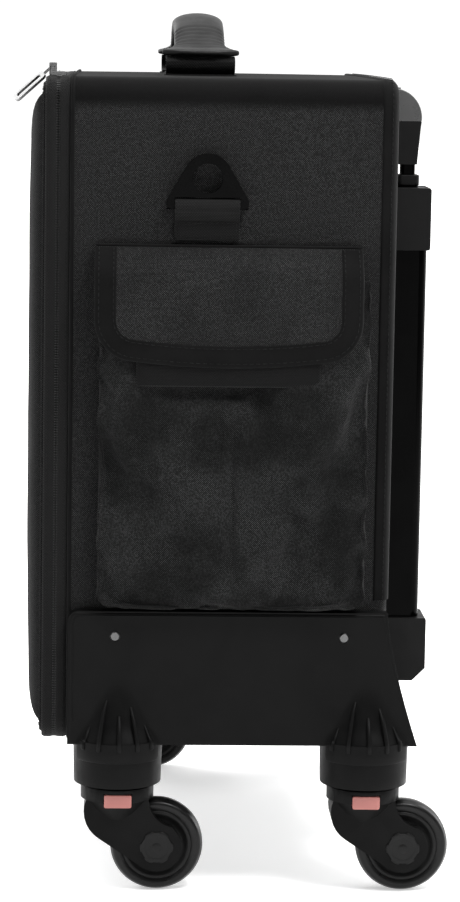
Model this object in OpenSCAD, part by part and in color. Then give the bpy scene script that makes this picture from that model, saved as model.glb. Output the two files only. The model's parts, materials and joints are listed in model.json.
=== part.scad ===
// Pilot rolling flight case: a soft-sided cabin case with a zipped front lid, a pocket
// on each side, a carry handle on top, a two-stage trolley at the back and four swivel
// casters under moulded side guards.
// Millimetres, +Z up, the lid faces -Y, the trolley is at +Y, and the origin is on the
// floor under the middle of the case.

/* [Case] */
// Outer width across the two fabric sides
case_w = 320; // [300:2:360]
// Y of the case's front edge, where the lid's band starts
case_front = -99.5; // [-101:0.5:-97]
// Y of the outer face of the back wall
case_back = 92; // [91:0.5:92]
// Height of the case's underside above the floor
case_bottom = 92; // [91:0.5:93]
// Height of the case's top
case_top = 488; // [480:1:500]
// Radius of the long edges
corner_r = 14; // [10:1:20]
// Thickness of a wall: fabric, foam and board together
wall_t = 6; // [4:0.5:8]

/* [Lid] */
// Depth of one half of the zipped band, on the case and on the lid alike
band_d = 7.2; // [6:0.1:8]
// Gap between the two halves of the band
band_gap = 0.6; // [0.5:0.1:1]
// Thickness of the band
band_t = 4; // [3:0.5:5]
// Depth of the padded front panel at its middle
lid_panel_d = 12; // [10:0.5:13]
// How far the front panel crowns across its width
lid_crown_w = 5; // [3:0.5:6]
// How far the front panel crowns over its height
lid_crown_h = 3; // [2:0.5:5]

/* [Zip slider] */
// Where the slider stands on the closed zip, from the middle of the case
slider_x = 138; // [120:1:140]
// Length of the pull tab
pull_len = 30; // [24:1:32]
// Angle of the resting pull tab below the horizontal
pull_drop = 42; // [38:1:42]
// Twist of the pull tab about its own length
pull_twist = 28; // [0:1:35]

/* [Side pockets] */
// Front edge of the pocket
pocket_front = -81.6; // [-84:0.5:-78]
// Rear edge of the pocket
pocket_back = 77; // [72:0.5:78]
// Underside of the pocket
pocket_bottom = 176; // [175.5:0.5:180]
// Top edge of the pocket's outer wall
pocket_top = 372; // [366:1:373]
// How far the pocket stands out from the side
pocket_depth = 19; // [16:0.5:20]
// Thickness of the pocket's cloth and binding
pocket_t = 2; // [1.5:0.5:3]

/* [Pocket flaps] */
// Height of the flap's seam on the side wall
flap_top = 391; // [390:0.5:392]
// Thickness of the flap
flap_t = 2.4; // [2:0.2:3]
// Height of the lowest point of the flap's curved edge
flap_bottom = 321; // [315:1:330]

/* [Side rings] */
// Height of the ring's bar, which turns in the strap's loop
ring_z = 414; // [414:0.5:415]
// Y of the ring's middle
ring_y = -19.3; // [-25:0.5:-15]
// Radius of the round eye
eye_r = 8.7; // [7:0.1:9]
// Width of the webbing that holds the ring
ring_web_w = 38; // [30:1:38]

/* [Carry handle] */
// Y of the handle's middle
handle_y = -22.5; // [-25:0.5:-20]
// Distance from the middle of the handle to each leg
handle_leg_x = 85; // [75:1:90]
// Height of the grip's highest point
handle_top = 527; // [524:1:530]
// Width of the grip
grip_w = 30; // [26:1:32]
// Thickness of the grip
grip_t = 13; // [11:0.5:14]

/* [Trolley] */
// Distance from the middle of the case to each tube
tube_x = 84; // [78:1:90]
// Y of the tubes' axis
tube_y = 105.2; // [105:0.1:105.5]
// Outer tube's size in X
outer_tube_w = 22; // [21:0.1:23]
// Outer tube's size in Y
outer_tube_d = 24.8; // [24:0.1:25]
// Middle tube's size in X
mid_tube_w = 16; // [15.6:0.1:16.4]
// Middle tube's size in Y
mid_tube_d = 13; // [12.6:0.1:13.4]
// Inner tube's size in X
inner_tube_w = 11.6; // [11.2:0.1:12]
// Inner tube's size in Y
inner_tube_d = 8.6; // [8.4:0.1:9]
// Wall of the tubes
tube_wall = 1.2; // [1:0.1:1.4]
// Top of the trolley's hand grip
trolley_top = 483; // [480:1:484]

/* [Casters] */
// Distance from the middle of the case to each caster
caster_x = 152; // [146:1:154]
// Y of the two front casters' swivel axis
caster_front = -68.5; // [-70:0.5:-66]
// Y of the two rear casters' swivel axis
caster_back = 80.3; // [78:0.5:82]
// Radius of the wheel
wheel_r = 28; // [27.5:0.5:28.5]
// Width of the wheel
wheel_w = 14; // [12:1:14]
// Distance of the axle behind the swivel axis
trail = 24; // [23:0.5:25]

/* [Hidden] */
$fn = 48;
eps = 0.01;
half_w = case_w / 2;
case_mid_z = (case_top + case_bottom) / 2;
case_h = case_top - case_bottom;
band_split = case_front - band_d;
lid_back = band_split - band_gap;
lid_face = lid_back - band_d;
lid_front = lid_face - lid_panel_d;
SIDES = [-1, 1];

// ---- shared shapes ----

// A 2D outline in (x, z), drawn out along Y from y0 to y1.
module along_y(y0, y1) {
    translate([0, y1, 0])
        rotate([90, 0, 0])
            linear_extrude(y1 - y0)
                children();
}

// A 2D outline in (y, z), drawn out along X from x0 to x1.
module along_x(x0, x1) {
    translate([x0, 0, 0])
        rotate([90, 0, 90])
            linear_extrude(x1 - x0)
                children();
}

// A block from its lowest corner to its highest.
module block(low, high) {
    translate(low)
        cube(high - low);
}

// A rectangle with round corners, centred.
module rounded_rect(w, h, r) {
    square([w - 2 * r, h], center = true);
    square([w, h - 2 * r], center = true);
    for (sx = SIDES, sy = SIDES)
        translate([sx * (w / 2 - r), sy * (h / 2 - r)])
            circle(r = r);
}

// Children as drawn for the right-hand side, or mirrored to the left.
module on_side(side) {
    mirror([side < 0 ? 1 : 0, 0, 0])
        children();
}

// ---- case walls ----

module case_outline(inset) {
    translate([0, case_mid_z])
        rounded_rect(case_w - 2 * inset, case_h - 2 * inset, corner_r - inset);
}

module case_ring(y0, y1, thick) {
    along_y(y0, y1)
        difference() {
            case_outline(0);
            case_outline(thick);
        }
}

module wall_slice(low_z, high_z, low_x, high_x) {
    intersection() {
        case_ring(case_front, case_back - wall_t, wall_t);
        block([low_x, case_front - 1, low_z], [high_x, case_back, high_z]);
    }
}

module top_panel() {
    color("#242427")
        wall_slice(case_top - corner_r, case_top + 1, -half_w - 1, half_w + 1);
}

module bottom_panel() {
    color("#1c1c1e")
        wall_slice(case_bottom - 1, case_bottom + corner_r, -half_w - 1, half_w + 1);
}

module side_panel(side) {
    color("#242427")
        on_side(side)
            wall_slice(case_bottom + corner_r, case_top - corner_r, 0, half_w + 1);
}

module back_panel() {
    color("#1e1e20")
        difference() {
            along_y(case_back - wall_t, case_back)
                case_outline(0);
            bracket_screw_holes(upper_screw_z);
            bracket_screw_holes(lower_screw_z);
        }
}

// ---- lid, zip and piping ----

module case_zip_band() {
    color("#19191b")
        case_ring(band_split, case_front, band_t);
}

module lid_zip_band() {
    color("#19191b")
        case_ring(lid_face, lid_back, band_t);
}

// Radius of the arc that rises by crown over a span.
function crown_r(span, crown) = (span * span / 4 + crown * crown) / (2 * crown);

module lid_panel() {
    across = crown_r(case_w, lid_crown_w);
    up = crown_r(case_h, lid_crown_h);
    pad_inset = 10;
    flange_inset = 3.4;
    flange_d = 1.5;
    color("#222225") {
        along_y(lid_face - flange_d, lid_face)
            case_outline(flange_inset);
        intersection() {
            along_y(lid_front, lid_face - flange_d)
                case_outline(pad_inset);
            translate([0, lid_front + across, case_bottom - 1])
                cylinder(r = across, h = case_h + 2, $fn = 96);
            translate([-half_w - 1, lid_front + up, case_mid_z])
                rotate([0, 90, 0])
                    cylinder(r = up, h = case_w + 2, $fn = 96);
        }
    }
}

// Sewn cord edging round the back of the case, proud of the wall.
// Binding round the case's back edge. It ends where the side guards cover the corner.
module edge_piping() {
    pipe_d = 3;
    back_y = case_back - pipe_d;
    color("#2b2b2e")
        difference() {
            along_y(back_y, case_back)
                difference() {
                    case_outline(-1.2);
                    case_outline(0);
                }
            block([-case_w, back_y - 1, 0], [case_w, case_back + 1, guard_top + 0.5]);
        }
}

// ---- zip slider and its pull tab ----

slider_y = band_split - band_gap / 2;
slider_z = case_top + 0.4;
pin_z = slider_z + 5.4;
pin_y = slider_y - 3.6;

module zip_slider() {
    slider_l = 15;
    slider_w = 9;
    plate_t = 2;
    bridge_t = 2;
    color("#6d6e70")
        translate([slider_x, slider_y, slider_z])
            difference() {
                union() {
                    translate([0, 0, plate_t / 2])
                        cube([slider_l, slider_w, plate_t], center = true);
                    for (sx = SIDES)
                        translate([sx * 4.6, -3.6, 3.6])
                            cube([bridge_t, 4.4, 7.2], center = true);
                }
                translate([0, -3.6, 5.4])
                    rotate([0, 90, 0])
                        cylinder(r = 1.05, h = 20, center = true);
            }
}

// Long open tab on a cross pin, hanging over the lid's top edge.
module zip_pull() {
    tab_w = 8;
    tab_t = 1.6;
    neck = 7;
    color("#a9aaac")
        translate([slider_x, pin_y, pin_z]) {
            rotate([0, 90, 0])
                cylinder(r = 1, h = 11, center = true);
            rotate([pull_drop, 0, 0])
                translate([0, -neck / 2, 0])
                    cube([3, neck, tab_t], center = true);
            rotate([pull_drop, 0, 0])
                rotate([0, pull_twist, 0])
                    translate([0, -neck - (pull_len - neck) / 2, -tab_t / 2])
                        linear_extrude(tab_t)
                            difference() {
                                rounded_rect(tab_w, pull_len - neck, 2.5);
                                rounded_rect(tab_w - 4, pull_len - neck - 5, 1.5);
                            }
        }
}

// ---- side pockets and their flaps ----

pocket_w = pocket_back - pocket_front;
pocket_mid_y = (pocket_front + pocket_back) / 2;
pocket_h = pocket_top - pocket_bottom;
pocket_mid_z = (pocket_top + pocket_bottom) / 2;

module pocket_outline(inset) {
    translate([pocket_mid_y, pocket_mid_z])
        rounded_rect(pocket_w - 2 * inset, pocket_h - 2 * inset, 9 - inset);
}

// Open-topped bag sewn flat to the side wall.
module side_pocket(side) {
    color("#202022")
        on_side(side)
            difference() {
                along_x(half_w, half_w + pocket_depth)
                    pocket_outline(0);
                along_x(half_w - 1, half_w + pocket_depth - pocket_t)
                    pocket_outline(pocket_t);
                block([half_w - 1, pocket_front + pocket_t, pocket_top - 12],
                      [half_w + pocket_depth - pocket_t, pocket_back - pocket_t, pocket_top + 1]);
            }
}

// The flap leaves the wall at its seam, slopes out over the pocket and hangs down its face.
flap_front = -84.5;
flap_back = 72;
flap_mid_y = (flap_front + flap_back) / 2;
flap_w = flap_back - flap_front;
flap_fold_x = half_w + pocket_depth + 0.8;
flap_fold_z = pocket_top + 4;
flap_seam_gap = 0.8;

module flap_profile() {
    polygon([
        [half_w + flap_seam_gap, flap_top],
        [flap_fold_x + flap_t, flap_fold_z],
        [flap_fold_x + flap_t, flap_bottom],
        [flap_fold_x, flap_bottom],
        [flap_fold_x, flap_fold_z - 1],
        [half_w + flap_seam_gap, flap_top - flap_t]
    ]);
}

// Seen from the side the flap is a rectangle whose lower edge dips in a long arc.
module flap_outline() {
    dip = 14;
    dip_r = crown_r(flap_w + 30, dip);
    intersection() {
        translate([flap_front, flap_bottom - 1])
            square([flap_w, flap_top - flap_bottom + 2]);
        translate([flap_mid_y, flap_bottom + dip_r])
            circle(r = dip_r, $fn = 96);
    }
}

module pocket_flap(side) {
    color("#2a2a2d")
        on_side(side)
            intersection() {
                along_y(flap_front, flap_back)
                    flap_profile();
                along_x(half_w, flap_fold_x + flap_t + 1)
                    flap_outline();
            }
}

// ---- side rings ----

ring_x = half_w + 5.2;
ring_bar_r = 2.2;
loop_gap = 0.3;
loop_t = 1.6;

// Webbing that comes up from the flap's seam and turns round the ring's bar.
module ring_straps() {
    loop_r = ring_bar_r + loop_gap + loop_t;
    strap_t = 2.4;
    seam_gap = 2.4;
    color("#2f2f32")
        for (side = SIDES)
            on_side(side)
                along_y(ring_y - ring_web_w / 2, ring_y + ring_web_w / 2)
                    difference() {
                        union() {
                            translate([half_w, flap_top + seam_gap])
                                square([strap_t, ring_z - flap_top - seam_gap]);
                            translate([ring_x, ring_z])
                                circle(r = loop_r);
                        }
                        translate([ring_x, ring_z])
                            circle(r = ring_bar_r + loop_gap);
                    }
}

// Moulded triangle with a round eye, hung on a bar that passes through the loop.
module side_ring(side) {
    plate_t = 4.4;
    eye_z = ring_z + 16;
    foot_z = ring_z + 5.6;
    rim = 5.8;
    bar_half = ring_web_w / 2 + 5;
    color("#111112")
        on_side(side) {
            translate([ring_x, ring_y - bar_half, ring_z])
                rotate([-90, 0, 0])
                    cylinder(r = ring_bar_r, h = 2 * bar_half);
            difference() {
                along_x(ring_x - plate_t / 2, ring_x + plate_t / 2)
                    difference() {
                        hull() {
                            translate([ring_y, eye_z])
                                circle(r = eye_r + rim, $fn = 32);
                            for (sy = SIDES)
                                translate([ring_y + sy * (bar_half - 4), ring_z + 2])
                                    circle(r = 4.2, $fn = 32);
                        }
                        translate([ring_y, eye_z])
                            circle(r = eye_r);
                    }
                block([ring_x - 5, ring_y - ring_web_w / 2 - 0.4, ring_z - 5],
                      [ring_x + 5, ring_y + ring_web_w / 2 + 0.4, foot_z - 0.6]);
            }
        }
}

// ---- carry handle on top ----

arch_span = 2 * (handle_leg_x - 4);
arch_rise = 15;
arch_r = crown_r(arch_span, arch_rise);
arch_mid_z = handle_top - grip_t / 2;
arch_half_a = asin((handle_leg_x - 6) / arch_r);
flange_z = 504;
flange_h = 3;
web_t = 2;
web_w = 25;

// Children, a section in (across, up), swept along the handle's arch.
module along_arch(half_angle) {
    translate([0, handle_y, arch_mid_z - arch_r])
        rotate([90, 0, 0])
            rotate([0, 0, 90 - half_angle])
                rotate_extrude(angle = 2 * half_angle, $fn = 96)
                    translate([arch_r, 0])
                        rotate(-90)
                            children();
}

module grip_section(w, h) {
    rounded_rect(w, h, min(w, h) * 0.42);
}

// Padded grip with a broad foot at each end that the webbing comes up through.
module handle_grip() {
    foot_w = 46;
    foot_l = 18;
    color("#161617")
        difference() {
            union() {
                along_arch(arch_half_a)
                    grip_section(grip_w, grip_t);
                for (sx = SIDES)
                    translate([sx * handle_leg_x, handle_y, flange_z + flange_h / 2])
                        cube([foot_l, foot_w, flange_h], center = true);
                for (sx = SIDES)
                    translate([sx * handle_leg_x, handle_y, flange_z + flange_h + 1.4])
                        cube([foot_l - 4, grip_w - 2, 3], center = true);
            }
            along_arch(arch_half_a + 4)
                square([web_w, web_t], center = true);
        }
}

// Height of the line on which the webbing legs bend when the handle tips over.
tilt_z = 500;
knuckle_r = 1.8;
leg_t = 3;
leg_half = 20;

// Webbing inside the grip, and the leg that narrows to its bending line under each foot.
module handle_webbing() {
    color("#2c2c2e") {
        along_arch(arch_half_a - 0.6)
            square([web_w, web_t], center = true);
        for (sx = SIDES)
            translate([sx * handle_leg_x, handle_y, tilt_z])
                along_x(-leg_t / 2, leg_t / 2) {
                    circle(r = knuckle_r);
                    polygon([
                        [-knuckle_r, 0],
                        [knuckle_r, 0],
                        [leg_half, flange_z - tilt_z],
                        [-leg_half, flange_z - tilt_z]
                    ]);
                }
    }
}

// Stitched patches that hold the webbing to the top, with the foot of each leg.
module handle_anchors() {
    patch_l = 46;
    patch_w = 43;
    patch_t = 2;
    foot_z = patch_t + 0.6;
    rise = tilt_z - case_top - knuckle_r - 0.4;
    color("#2c2c2e")
        for (sx = SIDES) {
            translate([sx * (handle_leg_x - 16), handle_y, case_top + patch_t / 2])
                cube([patch_l, patch_w, patch_t], center = true);
            translate([sx * handle_leg_x, handle_y, case_top])
                along_x(-leg_t / 2, leg_t / 2)
                    polygon([
                        [-leg_half, patch_t],
                        [leg_half, patch_t],
                        [leg_half, foot_z],
                        [knuckle_r, rise],
                        [-knuckle_r, rise],
                        [-leg_half, foot_z]
                    ]);
        }
}

// ---- side guards and rivets ----

guard_front = -98.8;
guard_top = 173;
guard_t = 8;
guard_flare = 19.5;
rivet_z = 158;
rivet_ys = [-70.8, 65.7];
housing_r = 26.8;

// The guard's rear edge sweeps out towards the floor to carry the rear caster.
function flare_y(z) = 91.6 + guard_flare * pow((guard_top - z) / (guard_top - case_bottom), 1.4);

module guard_outline() {
    steps = 14;
    corner = 6;
    polygon(concat(
        [[guard_front, case_bottom]],
        [for (i = [0 : steps])
            let (z = case_bottom + (guard_top - case_bottom) * i / steps)
            [flare_y(z), z]],
        [for (a = [90 : 15 : 180])
            [guard_front + corner + corner * cos(a), guard_top - corner + corner * sin(a)]]
    ));
}

module side_guard(side) {
    housing_h = 30;
    color("#161617")
        on_side(side)
            difference() {
                union() {
                    along_x(half_w, half_w + guard_t)
                        guard_outline();
                    intersection() {
                        for (cy = [caster_front, caster_back])
                            translate([caster_x, cy, case_bottom])
                                cylinder(r1 = housing_r, r2 = 15, h = housing_h);
                        block([half_w, -200, case_bottom], [half_w + 40, 200, case_bottom + 40]);
                    }
                }
                for (ry = rivet_ys)
                    translate([half_w - 1, ry, rivet_z])
                        rotate([0, 90, 0])
                            cylinder(r = 1.9, h = guard_t + 2);
            }
}

module guard_rivets() {
    head_r = 3.3;
    head_t = 1.4;
    color("#8d8d90")
        for (side = SIDES, ry = rivet_ys)
            on_side(side)
                translate([half_w, ry, rivet_z])
                    rotate([0, 90, 0]) {
                        cylinder(r = 1.9, h = guard_t);
                        translate([0, 0, guard_t])
                            cylinder(r1 = head_r, r2 = head_r * 0.7, h = head_t);
                    }
}

// ---- trolley: brackets, telescoping tubes and grip ----

outer_tube = [outer_tube_w, outer_tube_d];
mid_tube = [mid_tube_w, mid_tube_d];
inner_tube = [inner_tube_w, inner_tube_d];
tube_floor = 121;
outer_tube_top = 408;
collar_top = 422.6;
mid_tube_low = 128;
mid_tube_top = 424;
mid_collar_top = 430.6;
inner_tube_low = 132;
inner_tube_top = 456;
run_gap = 0.25;
screw_x = 52;
screw_r = 1.9;
upper_screw_z = 404;
lower_screw_z = 138;
upper_bracket_low = 385;
upper_bracket_top = 423;
upper_bracket_back = 119;
lower_bracket_low = 117.5;
lower_bracket_top = 157;
lower_bracket_back = 122;

module tube_section(size, grow = 0) {
    w = size[0] + 2 * grow;
    d = size[1] + 2 * grow;
    rounded_rect(w, d, min(w, d) * 0.22);
}

// Children, a section in (x, y), drawn out between two heights at both tubes.
module at_tubes(z0, z1) {
    for (side = SIDES)
        translate([side * tube_x, tube_y, z0])
            linear_extrude(z1 - z0)
                children();
}

module tube_pair(size, z0, z1) {
    at_tubes(z0, z1)
        difference() {
            tube_section(size);
            tube_section(size, -tube_wall);
        }
}

module bracket_screw_holes(z) {
    for (side = SIDES)
        translate([side * screw_x, case_back - wall_t - 1, z])
            rotate([-90, 0, 0])
                cylinder(r = screw_r, h = 20);
}

// Block round each outer tube, joined across the back by a bar.
module bracket(z0, z1, back_y, bar_h, chamfer) {
    block_w = outer_tube[0] + 9;
    bar_d = 6;
    bar_mid = (z0 + z1) / 2;
    for (side = SIDES)
        translate([side * tube_x, 0, 0])
            along_x(-block_w / 2, block_w / 2)
                polygon([
                    [case_back, z0],
                    [back_y - chamfer, z0],
                    [back_y, z0 + chamfer],
                    [back_y, z1 - 1],
                    [back_y - 1, z1],
                    [case_back, z1]
                ]);
    block([-tube_x, case_back, bar_mid - bar_h / 2], [tube_x, case_back + bar_d, bar_mid + bar_h / 2]);
}

module upper_bracket() {
    color("#17171a")
        difference() {
            bracket(upper_bracket_low, upper_bracket_top, upper_bracket_back, 24, 1);
            at_tubes(upper_bracket_low - 1, upper_bracket_top + 1)
                tube_section(outer_tube);
            bracket_screw_holes(upper_screw_z);
        }
}

module lower_bracket() {
    color("#17171a")
        difference() {
            bracket(lower_bracket_low, lower_bracket_top, lower_bracket_back, 28, 8);
            at_tubes(tube_floor, lower_bracket_top + 1)
                tube_section(outer_tube);
            bracket_screw_holes(lower_screw_z);
        }
}

module bracket_screws() {
    head_r = 4;
    head_t = 2;
    shank_low = case_back - wall_t;
    color("#58585b")
        for (side = SIDES, z = [upper_screw_z, lower_screw_z])
            translate([side * screw_x, shank_low, z])
                rotate([-90, 0, 0]) {
                    cylinder(r = screw_r, h = wall_t + 6);
                    translate([0, 0, wall_t + 6])
                        cylinder(r = head_r, h = head_t);
                }
}

module outer_tubes() {
    color("#1b1b1d")
        tube_pair(outer_tube, tube_floor, outer_tube_top);
}

// Nylon guide in the top of each outer tube.
module outer_collars() {
    color("#101011") {
        at_tubes(outer_tube_top - 14, outer_tube_top)
            difference() {
                tube_section(outer_tube, -tube_wall);
                tube_section(mid_tube, run_gap);
            }
        at_tubes(outer_tube_top, collar_top)
            difference() {
                tube_section(outer_tube);
                tube_section(mid_tube, run_gap);
            }
    }
}

module middle_tubes() {
    color("#1b1b1d")
        tube_pair(mid_tube, mid_tube_low, mid_tube_top);
}

// Guide on top of each middle tube, and the shoe that runs in the outer tube.
module middle_collars() {
    shoe_h = 12;
    color("#101011") {
        at_tubes(mid_tube_top, mid_collar_top)
            difference() {
                tube_section(mid_tube, 0.4);
                tube_section(inner_tube, run_gap);
            }
        at_tubes(mid_tube_top - 10, mid_tube_top)
            difference() {
                tube_section(mid_tube, -tube_wall);
                tube_section(inner_tube, run_gap);
            }
        at_tubes(mid_tube_low, mid_tube_low + shoe_h)
            difference() {
                tube_section(outer_tube, -tube_wall - run_gap);
                tube_section(mid_tube);
            }
    }
}

lock_z = 140;
lock_r = 2;
lock_tip_y = tube_y - inner_tube[1] / 2 - 0.5;

module inner_tubes() {
    color("#1f1f21")
        difference() {
            tube_pair(inner_tube, inner_tube_low, inner_tube_top);
            for (side = SIDES)
                translate([side * tube_x, tube_y, lock_z])
                    rotate([90, 0, 0])
                        cylinder(r = lock_r + 0.3, h = inner_tube[1]);
        }
}

// Short sprung pins near the foot of the inner tubes.
module lock_pins() {
    pin_l = 5;
    color("#b0b0b2")
        for (side = SIDES)
            translate([side * tube_x, lock_tip_y, lock_z])
                rotate([-90, 0, 0])
                    cylinder(r = lock_r, h = pin_l);
}

grip_floor = 463;
grip_low = 437;
grip_front = case_back + 0.8;
grip_dome_r = trolley_top - 465;
grip_dome_y = case_back + 2.5;
grip_half = tube_x + 11;
rod_r = 1.5;
rod_gap = 0.5;
link_z = 468;
link_t = 3.2;
button_half = 14;
button_y = [99.4, 107];

// Lower half of the grip: a floor across and a leg over each inner tube.
module trolley_grip() {
    floor_t = 4;
    leg_w = 21;
    color("#141416")
        difference() {
            union() {
                along_x(-grip_half, grip_half)
                    polygon([
                        [grip_front, grip_floor - floor_t],
                        [111.8, grip_floor - floor_t],
                        [112.3, grip_floor],
                        [grip_front, grip_floor]
                    ]);
                for (side = SIDES)
                    translate([side * (grip_half - leg_w / 2), 0, 0])
                        along_x(-leg_w / 2, leg_w / 2)
                            polygon([
                                [grip_front, grip_low],
                                [110, grip_low],
                                [111.8, grip_floor - floor_t],
                                [grip_front, grip_floor - floor_t]
                            ]);
            }
            at_tubes(grip_low - 1, inner_tube_top)
                tube_section(inner_tube);
            at_tubes(grip_low, grip_floor + 1)
                circle(r = rod_r + rod_gap);
        }
}

module dome_section(inset) {
    intersection() {
        translate([grip_dome_y, trolley_top - grip_dome_r])
            circle(r = grip_dome_r - inset);
        translate([grip_front + inset, grip_floor])
            square([30, 30]);
    }
}

// Domed upper half of the grip, hollow, with the button's slot in its crown.
module grip_cap() {
    wall = 2.4;
    color("#1d1d20")
        difference() {
            along_x(-grip_half, grip_half)
                dome_section(0);
            along_x(-grip_half + wall, grip_half - wall)
                dome_section(wall);
            block([-button_half - 0.5, button_y[0] - 0.4, grip_floor + 6],
                  [button_half + 0.5, button_y[1] + 0.4, trolley_top + 1]);
        }
}

module grip_button() {
    color("#242428")
        block([-button_half, button_y[0], link_z + link_t],
              [button_half, button_y[1], trolley_top - 0.6]);
}

// Link bar under the button and the rods that run down the inner tubes.
module release_rods() {
    rod_low = lock_z + 6;
    color("#9a9a9c") {
        block([-tube_x - 4, tube_y - 3, link_z], [tube_x + 4, tube_y + 3, link_z + link_t]);
        at_tubes(rod_low, link_z)
            circle(r = rod_r);
    }
}

// Return spring under the link bar.
module button_spring() {
    coil_r = 2.2;
    wire_r = 0.4;
    turns = 3;
    color("#9a9a9c")
        translate([0, tube_y, grip_floor + eps])
            linear_extrude(link_z - grip_floor - 2 * eps, twist = -360 * turns, slices = turns * 16)
                translate([coil_r, 0])
                    circle(r = wire_r, $fn = 8);
}

// ---- casters ----

socket_low = 67;
stem_r = 4;
stem_low = 50;
stem_gap = 0.05;
fork_top = 65;
fork_r = 22;
fork_step = 57;
cheek_gap = 0.6;
cheek_t = 4.8;
axle_r = 3;
axle_gap = 0.06;

// Children, drawn for a caster at the origin, placed at one corner and facing outwards.
module at_caster(side, cy) {
    on_side(side)
        translate([caster_x, cy, 0])
            children();
}

module each_caster() {
    for (side = SIDES, cy = [caster_front, caster_back])
        at_caster(side, cy)
            children();
}

// Tapered skirt with a stem boss in the middle.
module caster_sockets() {
    skirt_t = 3;
    boss_r = 9;
    roof_t = 5;
    color("#18181a")
        each_caster()
            difference() {
                translate([0, 0, socket_low])
                    cylinder(r1 = housing_r - 0.6, r2 = housing_r, h = case_bottom - socket_low);
                difference() {
                    translate([0, 0, socket_low - 1])
                        cylinder(r = housing_r - skirt_t, h = case_bottom - socket_low - roof_t + 1);
                    cylinder(r = boss_r, h = case_bottom);
                }
                cylinder(r = stem_r, h = case_bottom - 3);
            }
}

module caster_stems() {
    color("#a5a5a8")
        each_caster()
            translate([0, 0, stem_low])
                cylinder(r = stem_r, h = case_bottom - 3 - stem_low);
}

// Thrust race between the socket's boss and the fork.
module caster_bearings() {
    color("#7d7d80")
        each_caster()
            translate([0, 0, fork_top + 0.3])
                difference() {
                    cylinder(r = 8.6, h = socket_low - fork_top - 0.3);
                    translate([0, 0, -1])
                        cylinder(r = stem_r, h = 6);
                }
}

module cheek_outline() {
    neck_z = 50;
    scoop = [trail + 12.5, 57.5];
    difference() {
        hull() {
            translate([0, neck_z])
                circle(r = 20, $fn = 32);
            translate([trail, wheel_r])
                circle(r = 15, $fn = 32);
        }
        translate(scoop)
            circle(r = 17.5);
        translate([-40, fork_step])
            square([80, 30]);
    }
}

// Fork: a round top on the stem, sweeping back to a cheek on each side of the wheel.
module caster_fork() {
    outer_x = wheel_w / 2 + cheek_gap + cheek_t;
    wheel_room = wheel_r + 1.2;
    color("#1a1a1c")
        difference() {
            union() {
                along_x(-outer_x, outer_x)
                    cheek_outline();
                translate([0, 0, 44])
                    cylinder(r1 = 12, r2 = fork_r - 1, h = fork_step - 44);
                translate([0, 0, fork_step])
                    cylinder(r = fork_r, h = fork_top - fork_step);
            }
            translate([0, trail, wheel_r])
                rotate([0, 90, 0])
                    cylinder(r = wheel_room, h = wheel_w + 2 * cheek_gap, center = true);
            translate([0, trail, wheel_r])
                rotate([0, 90, 0])
                    cylinder(r = axle_r, h = 60, center = true);
            translate([0, 0, stem_low - 0.5])
                cylinder(r = stem_r + stem_gap, h = 30);
            block([5.5, -8.2, 54], [30, 9, 62.8]);
        }
}

module caster_button() {
    color("#c9766c")
        intersection() {
            block([8, -7.8, 54.4], [22, 8.6, 62.4]);
            cylinder(r = fork_r + 0.4, h = 100);
        }
}

module caster_axle() {
    outer_x = wheel_w / 2 + cheek_gap + cheek_t;
    cap_r = 9;
    cap_t = 1;
    color("#808083")
        translate([0, trail, wheel_r])
            rotate([0, 90, 0]) {
                cylinder(r = axle_r, h = 2 * outer_x, center = true);
                for (s = SIDES)
                    translate([0, 0, s * (outer_x + cap_t / 2)])
                        cylinder(r = cap_r, h = cap_t, center = true);
            }
}

// Tread and core moulded in one, with dished faces.
module caster_wheel() {
    dish_r = 21;
    dish_d = 1.6;
    edge_r = 3;
    color("#2a2a2c")
        translate([0, trail, wheel_r])
            rotate([0, 90, 0])
                difference() {
                    rotate_extrude()
                        translate([wheel_r / 2, 0])
                            difference() {
                                rounded_rect(wheel_r, wheel_w, edge_r);
                                translate([-wheel_r / 2, -wheel_w / 2])
                                    square([axle_r + axle_gap, wheel_w]);
                            }
                    for (s = SIDES)
                        translate([0, 0, s * (wheel_w / 2)])
                            difference() {
                                cylinder(r = dish_r, h = 2 * dish_d, center = true);
                                cylinder(r = 8, h = 3 * dish_d, center = true);
                            }
                }
}

top_panel();
bottom_panel();
side_panel(1);  // right_panel
side_panel(-1);  // left_panel
back_panel();
case_zip_band();
edge_piping();
lid_panel();
lid_zip_band();
zip_slider();
zip_pull();
side_pocket(1);  // right_pocket
side_pocket(-1);  // left_pocket
pocket_flap(1);  // right_flap
pocket_flap(-1);  // left_flap
ring_straps();
side_ring(1);  // right_ring
side_ring(-1);  // left_ring
handle_anchors();
handle_webbing();
handle_grip();
side_guard(1);  // right_guard
side_guard(-1);  // left_guard
guard_rivets();
upper_bracket();
lower_bracket();
bracket_screws();
outer_tubes();
outer_collars();
middle_tubes();
middle_collars();
inner_tubes();
trolley_grip();
grip_cap();
grip_button();
release_rods();
button_spring();
lock_pins();
caster_sockets();
caster_stems();
caster_bearings();
at_caster(1, caster_front) caster_fork();  // fork_fr
at_caster(1, caster_front) caster_axle();  // axle_fr
at_caster(1, caster_front) caster_wheel();  // wheel_fr
at_caster(1, caster_front) caster_button();  // button_fr
at_caster(-1, caster_front) caster_fork();  // fork_fl
at_caster(-1, caster_front) caster_axle();  // axle_fl
at_caster(-1, caster_front) caster_wheel();  // wheel_fl
at_caster(-1, caster_front) caster_button();  // button_fl
at_caster(1, caster_back) caster_fork();  // fork_rr
at_caster(1, caster_back) caster_axle();  // axle_rr
at_caster(1, caster_back) caster_wheel();  // wheel_rr
at_caster(1, caster_back) caster_button();  // button_rr
at_caster(-1, caster_back) caster_fork();  // fork_rl
at_caster(-1, caster_back) caster_axle();  // axle_rl
at_caster(-1, caster_back) caster_wheel();  // wheel_rl
at_caster(-1, caster_back) caster_button();  // button_rl
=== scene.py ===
import json
import math

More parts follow.
